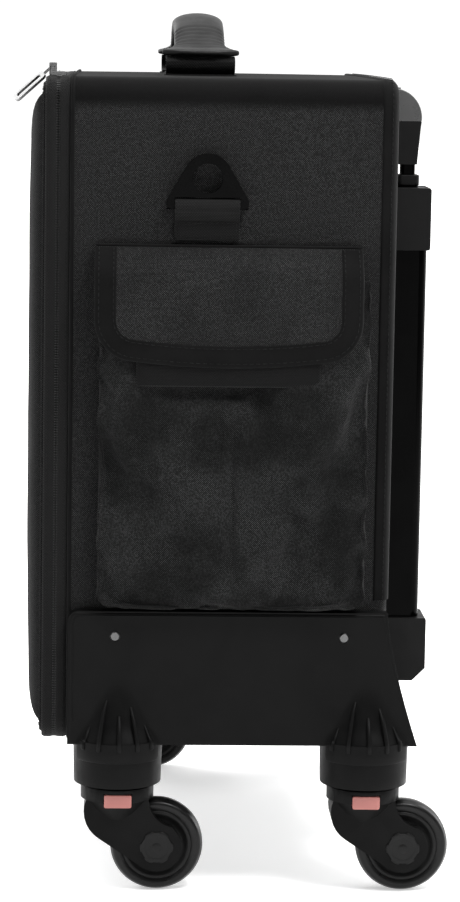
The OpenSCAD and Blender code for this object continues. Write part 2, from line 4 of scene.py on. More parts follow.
import bmesh
import bpy
from mathutils import Matrix, Vector, noise


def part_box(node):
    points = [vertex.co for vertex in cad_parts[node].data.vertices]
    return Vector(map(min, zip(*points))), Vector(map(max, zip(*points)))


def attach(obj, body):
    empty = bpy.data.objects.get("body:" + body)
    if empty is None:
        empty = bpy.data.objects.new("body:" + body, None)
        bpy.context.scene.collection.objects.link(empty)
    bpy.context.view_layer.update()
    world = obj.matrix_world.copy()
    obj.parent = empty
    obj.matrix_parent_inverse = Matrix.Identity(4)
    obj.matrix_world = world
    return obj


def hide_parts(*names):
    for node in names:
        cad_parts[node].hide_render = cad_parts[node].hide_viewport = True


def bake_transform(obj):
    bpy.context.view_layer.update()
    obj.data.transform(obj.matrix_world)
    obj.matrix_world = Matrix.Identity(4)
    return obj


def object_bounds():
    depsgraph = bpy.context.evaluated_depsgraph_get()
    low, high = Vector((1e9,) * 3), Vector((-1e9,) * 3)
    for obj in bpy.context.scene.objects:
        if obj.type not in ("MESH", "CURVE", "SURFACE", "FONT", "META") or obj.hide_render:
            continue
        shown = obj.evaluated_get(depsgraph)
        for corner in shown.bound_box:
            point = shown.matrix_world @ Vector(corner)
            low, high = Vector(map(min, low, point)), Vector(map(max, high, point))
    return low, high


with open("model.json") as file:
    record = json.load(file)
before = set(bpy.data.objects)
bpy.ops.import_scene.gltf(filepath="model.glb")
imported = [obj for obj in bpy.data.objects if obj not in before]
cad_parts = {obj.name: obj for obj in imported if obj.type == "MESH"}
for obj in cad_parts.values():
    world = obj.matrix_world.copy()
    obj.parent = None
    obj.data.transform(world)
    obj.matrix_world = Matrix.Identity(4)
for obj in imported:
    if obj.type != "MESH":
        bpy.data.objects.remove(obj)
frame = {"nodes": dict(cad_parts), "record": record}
cad_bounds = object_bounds()

MM = 0.001
SIDES = {"right": 1, "left": -1}
CORNERS = {"fr": 1, "fl": -1, "rr": 1, "rl": -1}
scene = bpy.context.scene


def lo(node):
    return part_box(node)[0]


def hi(node):
    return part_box(node)[1]


def smooth(t):
    t = min(max(t, 0.0), 1.0)
    return t * t * (3 - 2 * t)


# ---- camera, floor and light ----


CAMERA_PLACE = (1.889, -0.0732, 0.50706)
CAMERA_LENS = 117.54
CAMERA_YAW, CAMERA_PITCH, CAMERA_ROLL = (math.radians(a) for a in (2.3, 7.84, 0.907))


def make_camera():
    """A long lens that looks at the case's right side from a little above."""
    yaw, pitch, roll = CAMERA_YAW, CAMERA_PITCH, CAMERA_ROLL
    forward = Vector((-math.cos(yaw) * math.cos(pitch), math.sin(yaw) * math.cos(pitch), -math.sin(pitch)))
    right = forward.cross(Vector((0, 0, 1))).normalized()
    up = right.cross(forward)
    right_rolled = right * math.cos(roll) + up * math.sin(roll)
    up_rolled = up * math.cos(roll) - right * math.sin(roll)
    data = bpy.data.cameras.new("camera")
    data.sensor_width = 36
    data.lens = CAMERA_LENS
    data.clip_end = 60
    camera = bpy.data.objects.new("camera", data)
    camera.matrix_world = Matrix.Translation(CAMERA_PLACE) @ Matrix(
        (right_rolled, up_rolled, -forward)
    ).transposed().to_4x4()
    scene.collection.objects.link(camera)
    scene.camera = camera


def area_light(name, place, target, size, power):
    data = bpy.data.lights.new(name, "AREA")
    data.shape = "RECTANGLE"
    data.size, data.size_y = size
    data.energy = power
    light = bpy.data.objects.new(name, data)
    light.location = place
    light.rotation_euler = (Vector(target) - Vector(place)).to_track_quat("-Z", "Y").to_euler()
    light.visible_camera = False
    scene.collection.objects.link(light)


def overhead_light(strength, spread):
    """Broad even light from straight above, as from a white ceiling."""
    data = bpy.data.lights.new("ceiling", "SUN")
    data.energy = strength
    data.angle = math.radians(spread)
    light = bpy.data.objects.new("ceiling", data)
    light.location = (0, 0, 3)
    scene.collection.objects.link(light)


def make_world():
    """A pale studio all round, dimmest in the direction of +X so that dark faces there stay dark."""
    world = bpy.data.worlds.new("studio")
    world.use_nodes = True
    net = Net(world.node_tree)
    where = net.add("ShaderNodeTexCoord").outputs["Generated"]
    along_x = net.add("ShaderNodeSeparateXYZ", Vector=where).outputs["X"]
    level = net.map_range(along_x, 0.05, 0.7, 1.1, 0.17)
    background = net.add("ShaderNodeBackground", Color=(1, 1, 1, 1), Strength=level)
    net.output("ShaderNodeOutputWorld", background.outputs[0])
    scene.world = world


def make_stage():
    mesh = bpy.data.meshes.new("floor")
    reach = 14.0
    low_z = cad_bounds[0][2]
    corners = [(x * reach, y * reach, low_z) for x, y in ((-1, -1), (1, -1), (1, 1), (-1, 1))]
    mesh.from_pydata(corners, [], [(0, 1, 2, 3)])
    floor = bpy.data.objects.new("floor", mesh)
    scene.collection.objects.link(floor)
    mesh.materials.append(floor_material())


# ---- node materials ----


class Net:
    """Adds nodes to a tree. A keyword is an input's name with _ for a space, or i and its place."""

    def __init__(self, tree):
        self.tree = tree
        tree.nodes.clear()

    def add(self, kind, settings=None, **inputs):
        node = self.tree.nodes.new(kind)
        for key, value in (settings or {}).items():
            setattr(node, key, value)
        for key, value in inputs.items():
            name = key.replace("_", " ")
            socket = node.inputs[int(key[1:])] if key[0] == "i" and key[1:].isdigit() else node.inputs[name]
            self.feed(socket, value)
        return node

    def feed(self, socket, value):
        if isinstance(value, bpy.types.NodeSocket):
            self.tree.links.new(value, socket)
        else:
            socket.default_value = value

    def math(self, operation, a, b=0.0):
        node = self.add("ShaderNodeMath", {"operation": operation}, i0=a, i1=b)
        return node.outputs[0]

    def map_range(self, value, from_low, from_high, to_low, to_high, kind="SMOOTHSTEP"):
        node = self.add("ShaderNodeMapRange", {"interpolation_type": kind}, Value=value)
        for name, number in zip(
            ("From Min", "From Max", "To Min", "To Max"), (from_low, from_high, to_low, to_high)
        ):
            self.feed(node.inputs[name], number)
        return node.outputs["Result"]

    def mix(self, factor, a, b):
        node = self.add("ShaderNodeMix", {"data_type": "RGBA"})
        self.feed(node.inputs[0], factor)
        self.feed(node.inputs[6], a)
        self.feed(node.inputs[7], b)
        return node.outputs[2]

    def noise(self, vector, scale, detail=3.0, roughness=0.5):
        node = self.add("ShaderNodeTexNoise", Vector=vector, Scale=scale, Detail=detail, Roughness=roughness)
        return node.outputs["Fac"]

    def bump(self, height, distance, strength=1.0, normal=None):
        node = self.add("ShaderNodeBump", Height=height, Distance=distance, Strength=strength)
        if normal is not None:
            self.feed(node.inputs["Normal"], normal)
        return node.outputs["Normal"]

    def output(self, kind, shader):
        node = self.tree.nodes.new(kind)
        self.tree.links.new(shader, node.inputs[0])


def grey(level, warm=0.0):
    return (level * (1 + warm), level, level * (1 - warm * 0.6), 1)


def new_material(name):
    material = bpy.data.materials.new(name)
    material.use_nodes = True
    return material, Net(material.node_tree)


def finish_material(net, **inputs):
    shader = net.add("ShaderNodeBsdfPrincipled", **inputs)
    net.output("ShaderNodeOutputMaterial", shader.outputs[0])


def object_place(net):
    return net.add("ShaderNodeTexCoord").outputs["Object"]


def floor_material():
    material, net = new_material("floor_paper")
    grain = net.noise(object_place(net), 9.0)
    tone = net.mix(grain, grey(0.86), grey(0.9))
    finish_material(net, Base_Color=tone, Roughness=0.8, Emission_Color=grey(1.0), Emission_Strength=0.42)
    return material


def weave_height(net, place, pitch, lean=0.5):
    """Staggered rows of small raised crossings, from 0 to 1, each pitch metres long."""
    parts = net.add("ShaderNodeSeparateXYZ", Vector=place).outputs
    across = net.math("MULTIPLY", parts["X"], 1 / pitch)
    down = net.math("MULTIPLY", parts["Y"], 2 / pitch)
    row = net.math("MODULO", net.math("FLOOR", down), 2.0)
    shifted = net.math("ADD", across, net.math("MULTIPLY", row, lean))
    bump_across = net.math("ABSOLUTE", net.math("SINE", net.math("MULTIPLY", shifted, math.pi)))
    bump_down = net.math("SINE", net.math("MULTIPLY", net.math("FRACT", down), math.pi))
    return net.math("MULTIPLY", bump_across, bump_down)


def uv_place(net):
    return net.add("ShaderNodeUVMap").outputs["UV"]


def fabric_material(name, dark, light, pitch, crease=0.0, depth=0.00022, smooth_above=None, fold_shade_amount=0.0):
    """Woven nylon: yarn crossings with relief, painted light on their tops and painted shade in the gaps,
    soft mottling, broad patches of painted sheen and shade standing for folds on cloth that asks for them,
    and a little dust in the weave.
    """
    material, net = new_material(name)
    place = object_place(net)
    yarn = weave_height(net, uv_place(net), pitch)
    mottle = net.noise(place, 34.0, 4.0, 0.6)
    fleck = net.noise(place, 900.0, 2.0, 0.7)
    # Painted light and shade: raised yarn tops take the light tone and the gaps between them the dark ground,
    # as light would fall on the weave.
    lit = net.math("MULTIPLY", net.math("POWER", yarn, 2.2), net.map_range(fleck, 0.35, 0.7, 0.25, 1.0))
    if smooth_above is not None:
        height = net.add("ShaderNodeSeparateXYZ", Vector=place).outputs["Z"]
        shown = net.map_range(height, smooth_above - 0.008, smooth_above, 1.0, 0.12)
        lit = net.math("MULTIPLY", lit, shown)
        yarn = net.math("MULTIPLY", yarn, shown)
    # Painted sheen and shade of folds: broad noise patches darken the light tone of the yarn tops.
    if fold_shade_amount:
        wear_and_fold_shade = net.noise(place, 24.0, 3.0, 0.6)
        lit = net.math("MULTIPLY", lit, net.map_range(wear_and_fold_shade, 0.36, 0.64, 1 - fold_shade_amount, 1.0))
    ground = net.mix(net.map_range(mottle, 0.3, 0.7, 0.0, 1.0), grey(dark * 0.75), grey(dark * 1.3))
    tone = net.mix(lit, ground, grey(light))
    relief = net.bump(yarn, depth)
    if crease:
        folds = net.noise(place, 30.0, 3.0, 0.55)
        relief = net.bump(folds, crease, 0.9, relief)
    finish_material(
        net, Base_Color=tone, Roughness=0.72, Normal=relief, Specular_IOR_Level=0.05,
        Sheen_Weight=0.02, Sheen_Roughness=0.5,
    )
    return material


def webbing_material(name, dark, light):
    """Flat webbing: fine ribs along the strap and crossings between them, with painted light on the raised
    crossings.
    """
    material, net = new_material(name)
    place = object_place(net)
    yarn = weave_height(net, uv_place(net), 0.0016, 0.5)
    wear = net.noise(place, 60.0, 4.0)
    ground = net.mix(wear, grey(dark * 0.8), grey(dark * 1.25))
    # Painted light: raised crossings take the light tone over the dark ground.
    tone = net.mix(net.math("MULTIPLY", yarn, 0.7), ground, grey(light))
    finish_material(
        net, Base_Color=tone, Roughness=0.7, Normal=net.bump(yarn, 0.0003), Specular_IOR_Level=0.12,
        Sheen_Weight=0.04,
    )
    return material


def plastic_material(name, dark, rough, grain=0.00004, gloss=0.3, worn=1.6, grain_scale=2400.0):
    """Moulded plastic: fine spark-eroded grain, faint flow variation, and edges worn a little lighter."""
    material, net = new_material(name)
    place = object_place(net)
    flow = net.noise(place, 22.0, 4.0, 0.6)
    texture = net.noise(place, grain_scale, 2.0)
    ground = net.mix(net.map_range(flow, 0.3, 0.7, 0.0, 1.0), grey(dark * 0.85), grey(dark * 1.2))
    pointy = net.add("ShaderNodeNewGeometry").outputs["Pointiness"]
    wear_and_fold_shade = net.math("MULTIPLY", net.map_range(pointy, 0.51, 0.6, 0.0, 1.0), net.noise(place, 160.0))
    tone = net.mix(wear_and_fold_shade, ground, grey(dark * worn))
    scuff = net.map_range(net.noise(place, 90.0, 5.0, 0.7), 0.35, 0.75, rough - 0.05, rough + 0.1)
    finish_material(
        net, Base_Color=tone, Roughness=scuff, Normal=net.bump(texture, grain), Specular_IOR_Level=gloss
    )
    return material


def metal_material(name, tone, rough, brush=(1.0, 1.0, 1.0), metallic=1.0, gloss=0.5):
    """Metal with drawn lines along one axis and a slow change of roughness."""
    material, net = new_material(name)
    place = object_place(net)
    stretched = net.add("ShaderNodeVectorMath", {"operation": "MULTIPLY"}, i0=place, i1=brush).outputs[0]
    lines = net.noise(stretched, 1500.0, 3.0, 0.6)
    clouds = net.noise(place, 40.0, 3.0)
    colour = net.mix(lines, grey(tone * 0.8), grey(min(tone * 1.2, 1.0)))
    roughness = net.map_range(clouds, 0.3, 0.7, rough - 0.05, rough + 0.08)
    finish_material(
        net, Base_Color=colour, Metallic=metallic, Roughness=roughness,
        Normal=net.bump(lines, 0.00001), Specular_IOR_Level=gloss,
    )
    return material


def rubber_material(name, dark):
    """Cast polyurethane tyre: nearly smooth, dusty where it has rolled."""
    material, net = new_material(name)
    place = object_place(net)
    dust = net.noise(place, 130.0, 5.0, 0.65)
    tone = net.mix(net.map_range(dust, 0.5, 0.8, 0.0, 1.0), grey(dark), grey(dark * 1.9, 0.04))
    rough = net.map_range(dust, 0.3, 0.8, 0.26, 0.45)
    finish_material(
        net, Base_Color=tone, Roughness=rough, Normal=net.bump(net.noise(place, 1800.0), 0.00002),
        Specular_IOR_Level=0.2,
    )
    return material


def coral_material(name):
    material, net = new_material(name)
    place = object_place(net)
    flow = net.noise(place, 60.0, 3.0)
    tone = net.mix(flow, (0.36, 0.13, 0.115, 1), (0.43, 0.17, 0.15, 1))
    finish_material(
        net, Base_Color=tone, Roughness=0.42, Normal=net.bump(net.noise(place, 2600.0), 0.00003),
        Specular_IOR_Level=0.35,
    )
    return material


def make_materials():
    return {
        "case": fabric_material("case_weave", 0.0015, 0.105, 0.0013, smooth_above=0.4755),
        # Painted shade: the lid front gets a darker copy of the case weave, standing for the shade on its
        # front face.
        "lid": fabric_material("lid_weave", 0.0013, 0.055, 0.0013),
        # The pocket and flap cloths carry painted sheen and shade of their folds.
        "pocket": fabric_material(
            "pocket_twill", 0.0012, 0.115, 0.0012, crease=0.009, depth=0.0002, fold_shade_amount=0.6
        ),
        "flap": fabric_material("flap_weave", 0.0015, 0.12, 0.0013, crease=0.002, fold_shade_amount=0.3),
        "binding": fabric_material("smooth_binding", 0.004, 0.009, 0.0007, depth=0.00005),
        "lining": fabric_material("lining_cloth", 0.03, 0.045, 0.0008, crease=0.0004, depth=0.00005),
        "tape": webbing_material("zip_tape_cloth", 0.0025, 0.012),
        "thread": webbing_material("sewing_thread", 0.004, 0.010),
        "loop": webbing_material("loop_tape_pile", 0.0008, 0.0035),
        "webbing": webbing_material("strap_webbing", 0.0012, 0.018),
        "coil": plastic_material("zip_coil_nylon", 0.01, 0.35, gloss=0.3),
        "guard": plastic_material("guard_moulding", 0.0036, 0.44, gloss=0.07),
        "trolley": plastic_material("trolley_moulding", 0.0055, 0.42, gloss=0.1),
        "cap": plastic_material("cap_moulding", 0.05, 0.3, gloss=0.45, grain=0.00002),
        "grip": plastic_material("handle_moulding", 0.010, 0.5, gloss=0.2, grain_scale=1500.0),
        "ring": plastic_material("ring_moulding", 0.0012, 0.22, gloss=0.06, grain=0.00001),
        "hub": plastic_material("hub_moulding", 0.006, 0.4, gloss=0.16),
        "rubber": rubber_material("wheel_tyre", 0.005),
        "coral": coral_material("coral_moulding"),
        # Painted reflection: the chrome tubes get a near-black, barely glossy colour that stands for the dark
        # room their faces mirror.
        "tube": metal_material("tube_painted_dark_reflection", 0.001, 0.2, (1, 1, 0.01), metallic=0.0, gloss=0.03),
        "zip_metal": metal_material("nickel_plate", 0.2, 0.28, (1, 0.05, 1)),
        "steel": metal_material("zinc_plate", 0.12, 0.32, (1, 1, 0.05)),
    }


# ---- mesh building ----


def mesh_object(name, vertices, faces, material, smooth_faces=True):
    mesh = bpy.data.meshes.new(name)
    mesh.from_pydata([tuple(v) for v in vertices], [], faces)
    mesh.update()
    obj = bpy.data.objects.new(name, mesh)
    scene.collection.objects.link(obj)
    mesh.materials.append(material)
    if smooth_faces:
        mesh.shade_smooth()
    return obj


def project_uv(obj):
    """UVs in metres: each face takes the two axes that it faces least."""
    mesh = obj.data
    layer = mesh.uv_layers.get("UVMap") or mesh.uv_layers.new(name="UVMap")
    for face in mesh.polygons:
        normal = [abs(c) for c in face.normal]
        drop = normal.index(max(normal))
        first, second = [(1, 2), (0, 2), (0, 1)][drop]
        for loop in face.loop_indices:
            point = mesh.vertices[mesh.loops[loop].vertex_index].co
            layer.data[loop].uv = (point[first], point[second])
    return obj


def apply_modifiers(obj):
    bpy.context.view_layer.update()
    graph = bpy.context.evaluated_depsgraph_get()
    shape = bpy.data.meshes.new_from_object(obj.evaluated_get(graph))
    shape.name = obj.name
    old = obj.data
    obj.modifiers.clear()
    obj.data = shape
    bpy.data.meshes.remove(old)
    return obj


def bevelled(obj, width, segments=3, angle=35):
    """Rounds the sharp edges, and keeps the flat faces flat in shading."""
    weld = obj.modifiers.new("weld", "WELD")
    weld.merge_threshold = 0.00001
    bevel = obj.modifiers.new("bevel", "BEVEL")
    bevel.width = width
    bevel.segments = segments
    bevel.limit_method = "ANGLE"
    bevel.angle_limit = math.radians(angle)
    bevel.use_clamp_overlap = True
    bevel.harden_normals = True
    return obj


def piece(obj, body, slot, *nodes):
    """Makes obj a piece: it gets its UVs, rides a body and may stand for CAD nodes. Its slot argument is not
    used.
    """
    project_uv(obj)
    if nodes:
        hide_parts(*nodes)
    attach(obj, body)
    return obj


def joined(name, objects):
    """One object out of several, with every object's faces and materials."""
    target = objects[0]
    with bpy.context.temp_override(
        active_object=target, object=target, selected_objects=objects, selected_editable_objects=objects
    ):
        bpy.ops.object.join()
    target.name = name
    return target


def loft(name, rings, material, closed=True, caps=False):
    """A skin over equally long rings of points. closed joins each ring's end to its start."""
    count = len(rings[0])
    vertices = [p for ring in rings for p in ring]
    faces = []
    span = count if closed else count - 1
    for r in range(len(rings) - 1):
        for i in range(span):
            j = (i + 1) % count
            faces.append((r * count + i, r * count + j, (r + 1) * count + j, (r + 1) * count + i))
    if caps:
        faces.append(tuple(reversed(range(count))))
        faces.append(tuple(range((len(rings) - 1) * count, len(rings) * count)))
    return mesh_object(name, vertices, faces, material)


def merge_doubles(obj, distance):
    work = bmesh.new()
    work.from_mesh(obj.data)
    bmesh.ops.remove_doubles(work, verts=work.verts, dist=distance)
    work.to_mesh(obj.data)
    work.free()


def face_outwards(obj):
    work = bmesh.new()
    work.from_mesh(obj.data)
    bmesh.ops.recalc_face_normals(work, faces=work.faces)
    work.to_mesh(obj.data)
    work.free()


def frames_along(points, closed=False):
    """(point, side, up) along a path, turning as little as possible."""
    points = [Vector(p) for p in points]
    count = len(points)
    result = []
    side = None
    for i, point in enumerate(points):
        before = points[i - 1] if (i > 0 or closed) else point
        after = points[(i + 1) % count] if (i < count - 1 or closed) else point
        along = (after - before).normalized()
        if side is None:
            helper = Vector((0, 0, 1)) if abs(along.z) < 0.9 else Vector((0, 1, 0))
            side = along.cross(helper).normalized()
        side = (side - along * side.dot(along)).normalized()
        result.append((point, side, along.cross(side)))
    return result


def tube(name, points, radius, material, sides=8, closed=False, flat=1.0):
    """A round cord along points. flat squeezes it along its second axis."""
    rings = []
    for point, side, up in frames_along(points, closed):
        ring = []
        for k in range(sides):
            a = 2 * math.pi * k / sides
            ring.append(point + side * math.cos(a) * radius + up * math.sin(a) * radius * flat)
        rings.append(ring)
    if closed:
        rings.append(rings[0])
    obj = loft(name, rings, material, closed=True, caps=not closed)
    if closed:
        merge_doubles(obj, 1e-6)
    return obj


def resample(points, step, closed=False):
    """Points equally spaced along a path, step metres apart or a little less."""
    points = [Vector(p) for p in points]
    if closed:
        points = points + [points[0]]
    lengths = [0.0]
    for a, b in zip(points, points[1:]):
        lengths.append(lengths[-1] + (b - a).length)
    count = max(2, int(math.ceil(lengths[-1] / step)))
    result = []
    k = 0
    for i in range(count if closed else count + 1):
        want = lengths[-1] * i / count
        while k < len(points) - 2 and lengths[k + 1] < want:
            k += 1
        part = (want - lengths[k]) / max(lengths[k + 1] - lengths[k], 1e-9)
        result.append(points[k].lerp(points[k + 1], part))
    return result


# Length, gap and radius of each kind of stitching.
FINE_THREAD = (2.2 * MM, 1.1 * MM, 0.3 * MM)
SEAM_THREAD = (2.4 * MM, 1.2 * MM, 0.28 * MM)
FLAP_THREAD = (2.6 * MM, 1.3 * MM, 0.28 * MM)
PAD_THREAD = (2.6 * MM, 1.3 * MM, 0.3 * MM)


def stitches(name, points, material, length, gap, radius, closed=False):
    """A row of short thread loops along a path."""
    path = resample(points, length + gap, closed)
    share = length / (length + gap) / 2
    vertices = []
    faces = []
    pairs = list(zip(path, path[1:] + ([path[0]] if closed else [])))
    for a, b in pairs:
        along = b - a
        middle = (a + b) / 2
        helper = Vector((0, 0, 1)) if abs(along.normalized().z) < 0.9 else Vector((0, 1, 0))
        side = along.cross(helper).normalized()
        up = side.cross(along.normalized())
        for t, size in ((-1, 0.25), (-0.75, 0.85), (0, 1.0), (0.75, 0.85), (1, 0.25)):
            centre = middle + along * t * share
            for k in range(6):
                a6 = math.pi * k / 3
                vertices.append(centre + (side * math.cos(a6) + up * math.sin(a6)) * radius * size)
        base = len(vertices) - 30
        for r in range(4):
            for k in range(6):
                n = (k + 1) % 6
                faces.append((base + r * 6 + k, base + r * 6 + n, base + r * 6 + 6 + n, base + r * 6 + 6 + k))
    return project_uv(mesh_object(name, vertices, faces, material))


def prism(name, outline, low, high, axis, material, width=0.0006, segments=3):
    """An outline of 2D points drawn out along an axis from low to high, its edges rounded."""
    place = {
        "x": lambda p, t: (t, p[0], p[1]),
        "y": lambda p, t: (p[0], t, p[1]),
        "z": lambda p, t: (p[0], p[1], t),
    }[axis]
    count = len(outline)
    vertices = [place(p, low) for p in outline] + [place(p, high) for p in outline]
    faces = [tuple(range(count)), tuple(range(count, 2 * count))]
    faces += [(i, (i + 1) % count, count + (i + 1) % count, count + i) for i in range(count)]
    obj = mesh_object(name, vertices, faces, material)
    face_outwards(obj)
    return apply_modifiers(bevelled(obj, width, segments))


def arc(centre, radius, start, end, count):
    """Points on an arc in 2D, angles in degrees."""
    result = []
    for i in range(count + 1):
        a = math.radians(start + (end - start) * i / count)
        result.append((centre[0] + radius * math.cos(a), centre[1] + radius * math.sin(a)))
    return result


def rounded_rect(low, high, radius, count=6):
    """Corner points of a rectangle with round corners, counterclockwise from its lower right."""
    (x0, y0), (x1, y1) = low, high
    points = arc((x1 - radius, y0 + radius), radius, -90, 0, count)
    points += arc((x1 - radius, y1 - radius), radius, 0, 90, count)
    points += arc((x0 + radius, y1 - radius), radius, 90, 180, count)
    points += arc((x0 + radius, y0 + radius), radius, 180, 270, count)
    return points


# ---- the case: shell, bands, binding and lid ----

HALF_W = hi("top_panel")[0]
FRONT = lo("top_panel")[1]
BACK = hi("back_panel")[1]
BOTTOM = lo("bottom_panel")[2]
TOP = hi("top_panel")[2]
CORNER = 14 * MM
WALL = 6 * MM
BACK_ROUND = 8 * MM
CROWN = 1.1 * MM
CROWN_REACH = 20 * MM
SIDE_POINTS = 30
CORNER_POINTS = 7


def outline_points(inset):
    """The case's outline seen from the front, moved inwards: the same number of points for every inset."""
    radius = max(CORNER - inset, 1.5 * MM)
    x1 = HALF_W - inset
    z0 = BOTTOM + inset
    z1 = TOP - inset
    right, low, high = x1 - radius, z0 + radius, z1 - radius
    centres = [(right, low), (right, high), (-right, high), (-right, low)]
    corners = []
    for centre, start in zip(centres, (-90, 0, 90, 180)):
        corners.append(arc(centre, radius, start, start + 90, CORNER_POINTS))
    points = []
    for index, corner in enumerate(corners):
        points += corner
        last, following = corner[-1], corners[(index + 1) % 4][0]
        for k in range(1, SIDE_POINTS):
            share = k / SIDE_POINTS
            points.append(tuple(a * (1 - share) + b * share for a, b in zip(last, following)))
    return points


def outline_path(inset, y):
    return [Vector((x, y, z)) for x, z in outline_points(inset)]


def top_rise(x, y):
    """How far the padded top stands above the CAD's flat one."""
    across = 1 - min(abs(x) / HALF_W, 1.0) ** 2
    middle = (FRONT + BACK) / 2
    along = 1 - min(abs(y - middle) / (BACK - FRONT) * 1.9, 1.0) ** 4
    return CROWN * across * along


def ripple(point, scale, amount):
    return noise.noise(Vector(point) * scale) * amount


def crown_point(point, y):
    """Lifts a point near the top with the padded top's crown at y."""
    if point.z > TOP - CROWN_REACH:
        point.z += top_rise(point.x, y) * smooth((point.z - TOP + CROWN_REACH) / CROWN_REACH)


def shell_ring(inset, y, outside):
    ring = []
    for x, z in outline_points(inset):
        point = Vector((x, y, z))
        if outside:
            crown_point(point, y)
            if abs(x) > HALF_W - 12 * MM:
                wave = max(ripple(point, 17, 0.9 * MM), -0.2 * MM)
                point.x += math.copysign(wave, x) * smooth((BACK - y) / (30 * MM))
        ring.append(point)
    return ring


def make_case_shell(materials):
    """Walls as one sewn box: woven outside, lined inside, open at the front."""
    outer = []
    for i in range(25):
        outer.append(shell_ring(0, FRONT + (BACK - BACK_ROUND - FRONT) * i / 24, True))
    for k in range(1, 9):
        a = math.radians(90 * k / 8)
        outer.append(shell_ring(BACK_ROUND * (1 - math.cos(a)), BACK - BACK_ROUND * (1 - math.sin(a)), True))
    for inset in (14, 22, 40, 70, 110, 150):
        outer.append(shell_ring(inset * MM, BACK, False))
    outer_skin = loft("case_outer_skin", outer, materials["case"])
    fill_last_ring(outer_skin, len(outer[0]))
    inner = [shell_ring(0, FRONT, True), shell_ring(1.5 * MM, FRONT - 0.4 * MM, False)]
    inner.append(shell_ring(WALL, FRONT - 0.4 * MM, False))
    for i in range(1, 17):
        inner.append(shell_ring(WALL, FRONT + (BACK - WALL - FRONT) * i / 16, False))
    for inset in (10, 30, 70, 110, 150):
        inner.append(shell_ring(inset * MM, BACK - WALL, False))
    inner_skin = loft("case_lining", inner, materials["lining"])
    fill_last_ring(inner_skin, len(inner[0]))
    shell = joined("case_shell", [outer_skin, inner_skin])
    walls = ("top_panel", "bottom_panel", "right_panel", "left_panel", "back_panel")
    piece(shell, "root", "case_fabric", *walls)


def fill_last_ring(obj, count):
    work = bmesh.new()
    work.from_mesh(obj.data)
    work.verts.ensure_lookup_table()
    work.faces.new(work.verts[len(work.verts) - count:])
    bmesh.ops.recalc_face_normals(work, faces=work.faces)
    work.to_mesh(obj.data)
    work.free()
    obj.data.shade_smooth()


def band_profile(y0, y1, thick):
    """(inset, y) round the section of a band of tape between y0 and y1, softly rounded on the outside."""
    middle = (y0 + y1) / 2
    half = (y1 - y0) / 2
    outside = []
    for i in range(9):
        t = -1 + 2 * i / 8
        outside.append((0.9 * MM * t * t * t * t, middle + half * t))
    return outside + [(thick, y1), (thick, y0)]


def make_band(name, y0, y1, body, node, materials):
    profile = band_profile(y0, y1, 4 * MM)
    rings = [outline_path(inset, y) for inset, y in profile]
    rings.append(rings[0])
    band = loft(name, rings, materials["tape"])
    merge_doubles(band, 1e-6)
    face_outwards(band)
    piece(band, body, "zip_tape", node)


def seam_stitches(name, y, inset, body, materials):
    path = outline_path(inset, y)
    row = stitches(name, path, materials["thread"], *SEAM_THREAD, closed=True)
    piece(row, body, "zip_tape")


def make_zip_teeth(name, y, lean, body, materials):
    """Nylon coil along one half of the zip, open along the hinge side."""
    path = [p for p in resample(outline_path(1.1 * MM, y), 1.5 * MM, closed=True) if p.x > 6 * MM - HALF_W]
    vertices = []
    faces = []
    for i, point in enumerate(path[:-1]):
        along = (path[i + 1] - point)
        if along.length > 3 * MM:
            continue
        along.normalize()
        out = Vector((along.z, 0, -along.x))
        across = Vector((0, 1, 0)) * lean
        base = len(vertices)
        for step_out, half, reach in ((-0.6, 0.42, 0.9), (0.35, 0.42, 0.75), (0.75, 0.22, 0.3)):
            for sa, sc in ((-1, -0.9), (1, -0.9), (1, reach), (-1, reach)):
                vertices.append(point + along * half * sa * MM + across * sc * MM + out * step_out * MM)
        for k in range(2):
            for c in range(4):
                n = (c + 1) % 4
                faces.append((base + k * 4 + c, base + k * 4 + n, base + k * 4 + 4 + n, base + k * 4 + 4 + c))
        faces.append((base + 8, base + 9, base + 10, base + 11))
        faces.append((base + 3, base + 2, base + 1, base))
    teeth = mesh_object(name, vertices, faces, materials["coil"], smooth_faces=False)
    piece(teeth, body, "zip_tape")


def make_bands(materials):
    case_y0, case_y1 = lo("case_zip_band")[1], hi("case_zip_band")[1]
    lid_y0, lid_y1 = lo("lid_zip_band")[1], hi("lid_zip_band")[1]
    make_band("case_zip_tape", case_y0, case_y1, "root", "case_zip_band", materials)
    make_band("lid_zip_tape", lid_y0, lid_y1, "lid", "lid_zip_band", materials)
    seam_stitches("case_tape_stitches", case_y1 - 2.2 * MM, -0.1 * MM, "root", materials)
    seam_stitches("lid_tape_stitches", lid_y0 + 2.2 * MM, -0.1 * MM, "lid", materials)
    make_zip_teeth("case_zip_teeth", case_y0 + 0.6 * MM, 1, "root", materials)
    make_zip_teeth("lid_zip_teeth", lid_y1 - 0.6 * MM, -1, "lid", materials)
    make_hinge_tape(case_y0, lid_y1, materials)


def make_hinge_tape(case_edge, lid_edge, materials):
    """The woven strip that joins the lid to the case along its hinge side."""
    rows = []
    for i in range(41):
        z = BOTTOM + 18 * MM + (TOP - BOTTOM - 36 * MM) * i / 40
        row = []
        for k in range(13):
            y = case_edge + 5 * MM + (lid_edge - case_edge - 10 * MM) * k / 12
            row.append(Vector((-HALF_W - 0.45 * MM - 0.25 * MM * math.cos((k - 6) * 0.5), y, z)))
        rows.append(row)
    strip = loft("hinge_tape", rows, materials["tape"], closed=False)
    thicken(strip, 0.5 * MM)
    project_uv(strip)
    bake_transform(strip)


def thicken(obj, thickness, offset=0.0):
    solid = obj.modifiers.new("solidify", "SOLIDIFY")
    solid.thickness = thickness
    solid.offset = offset
    return apply_modifiers(obj)


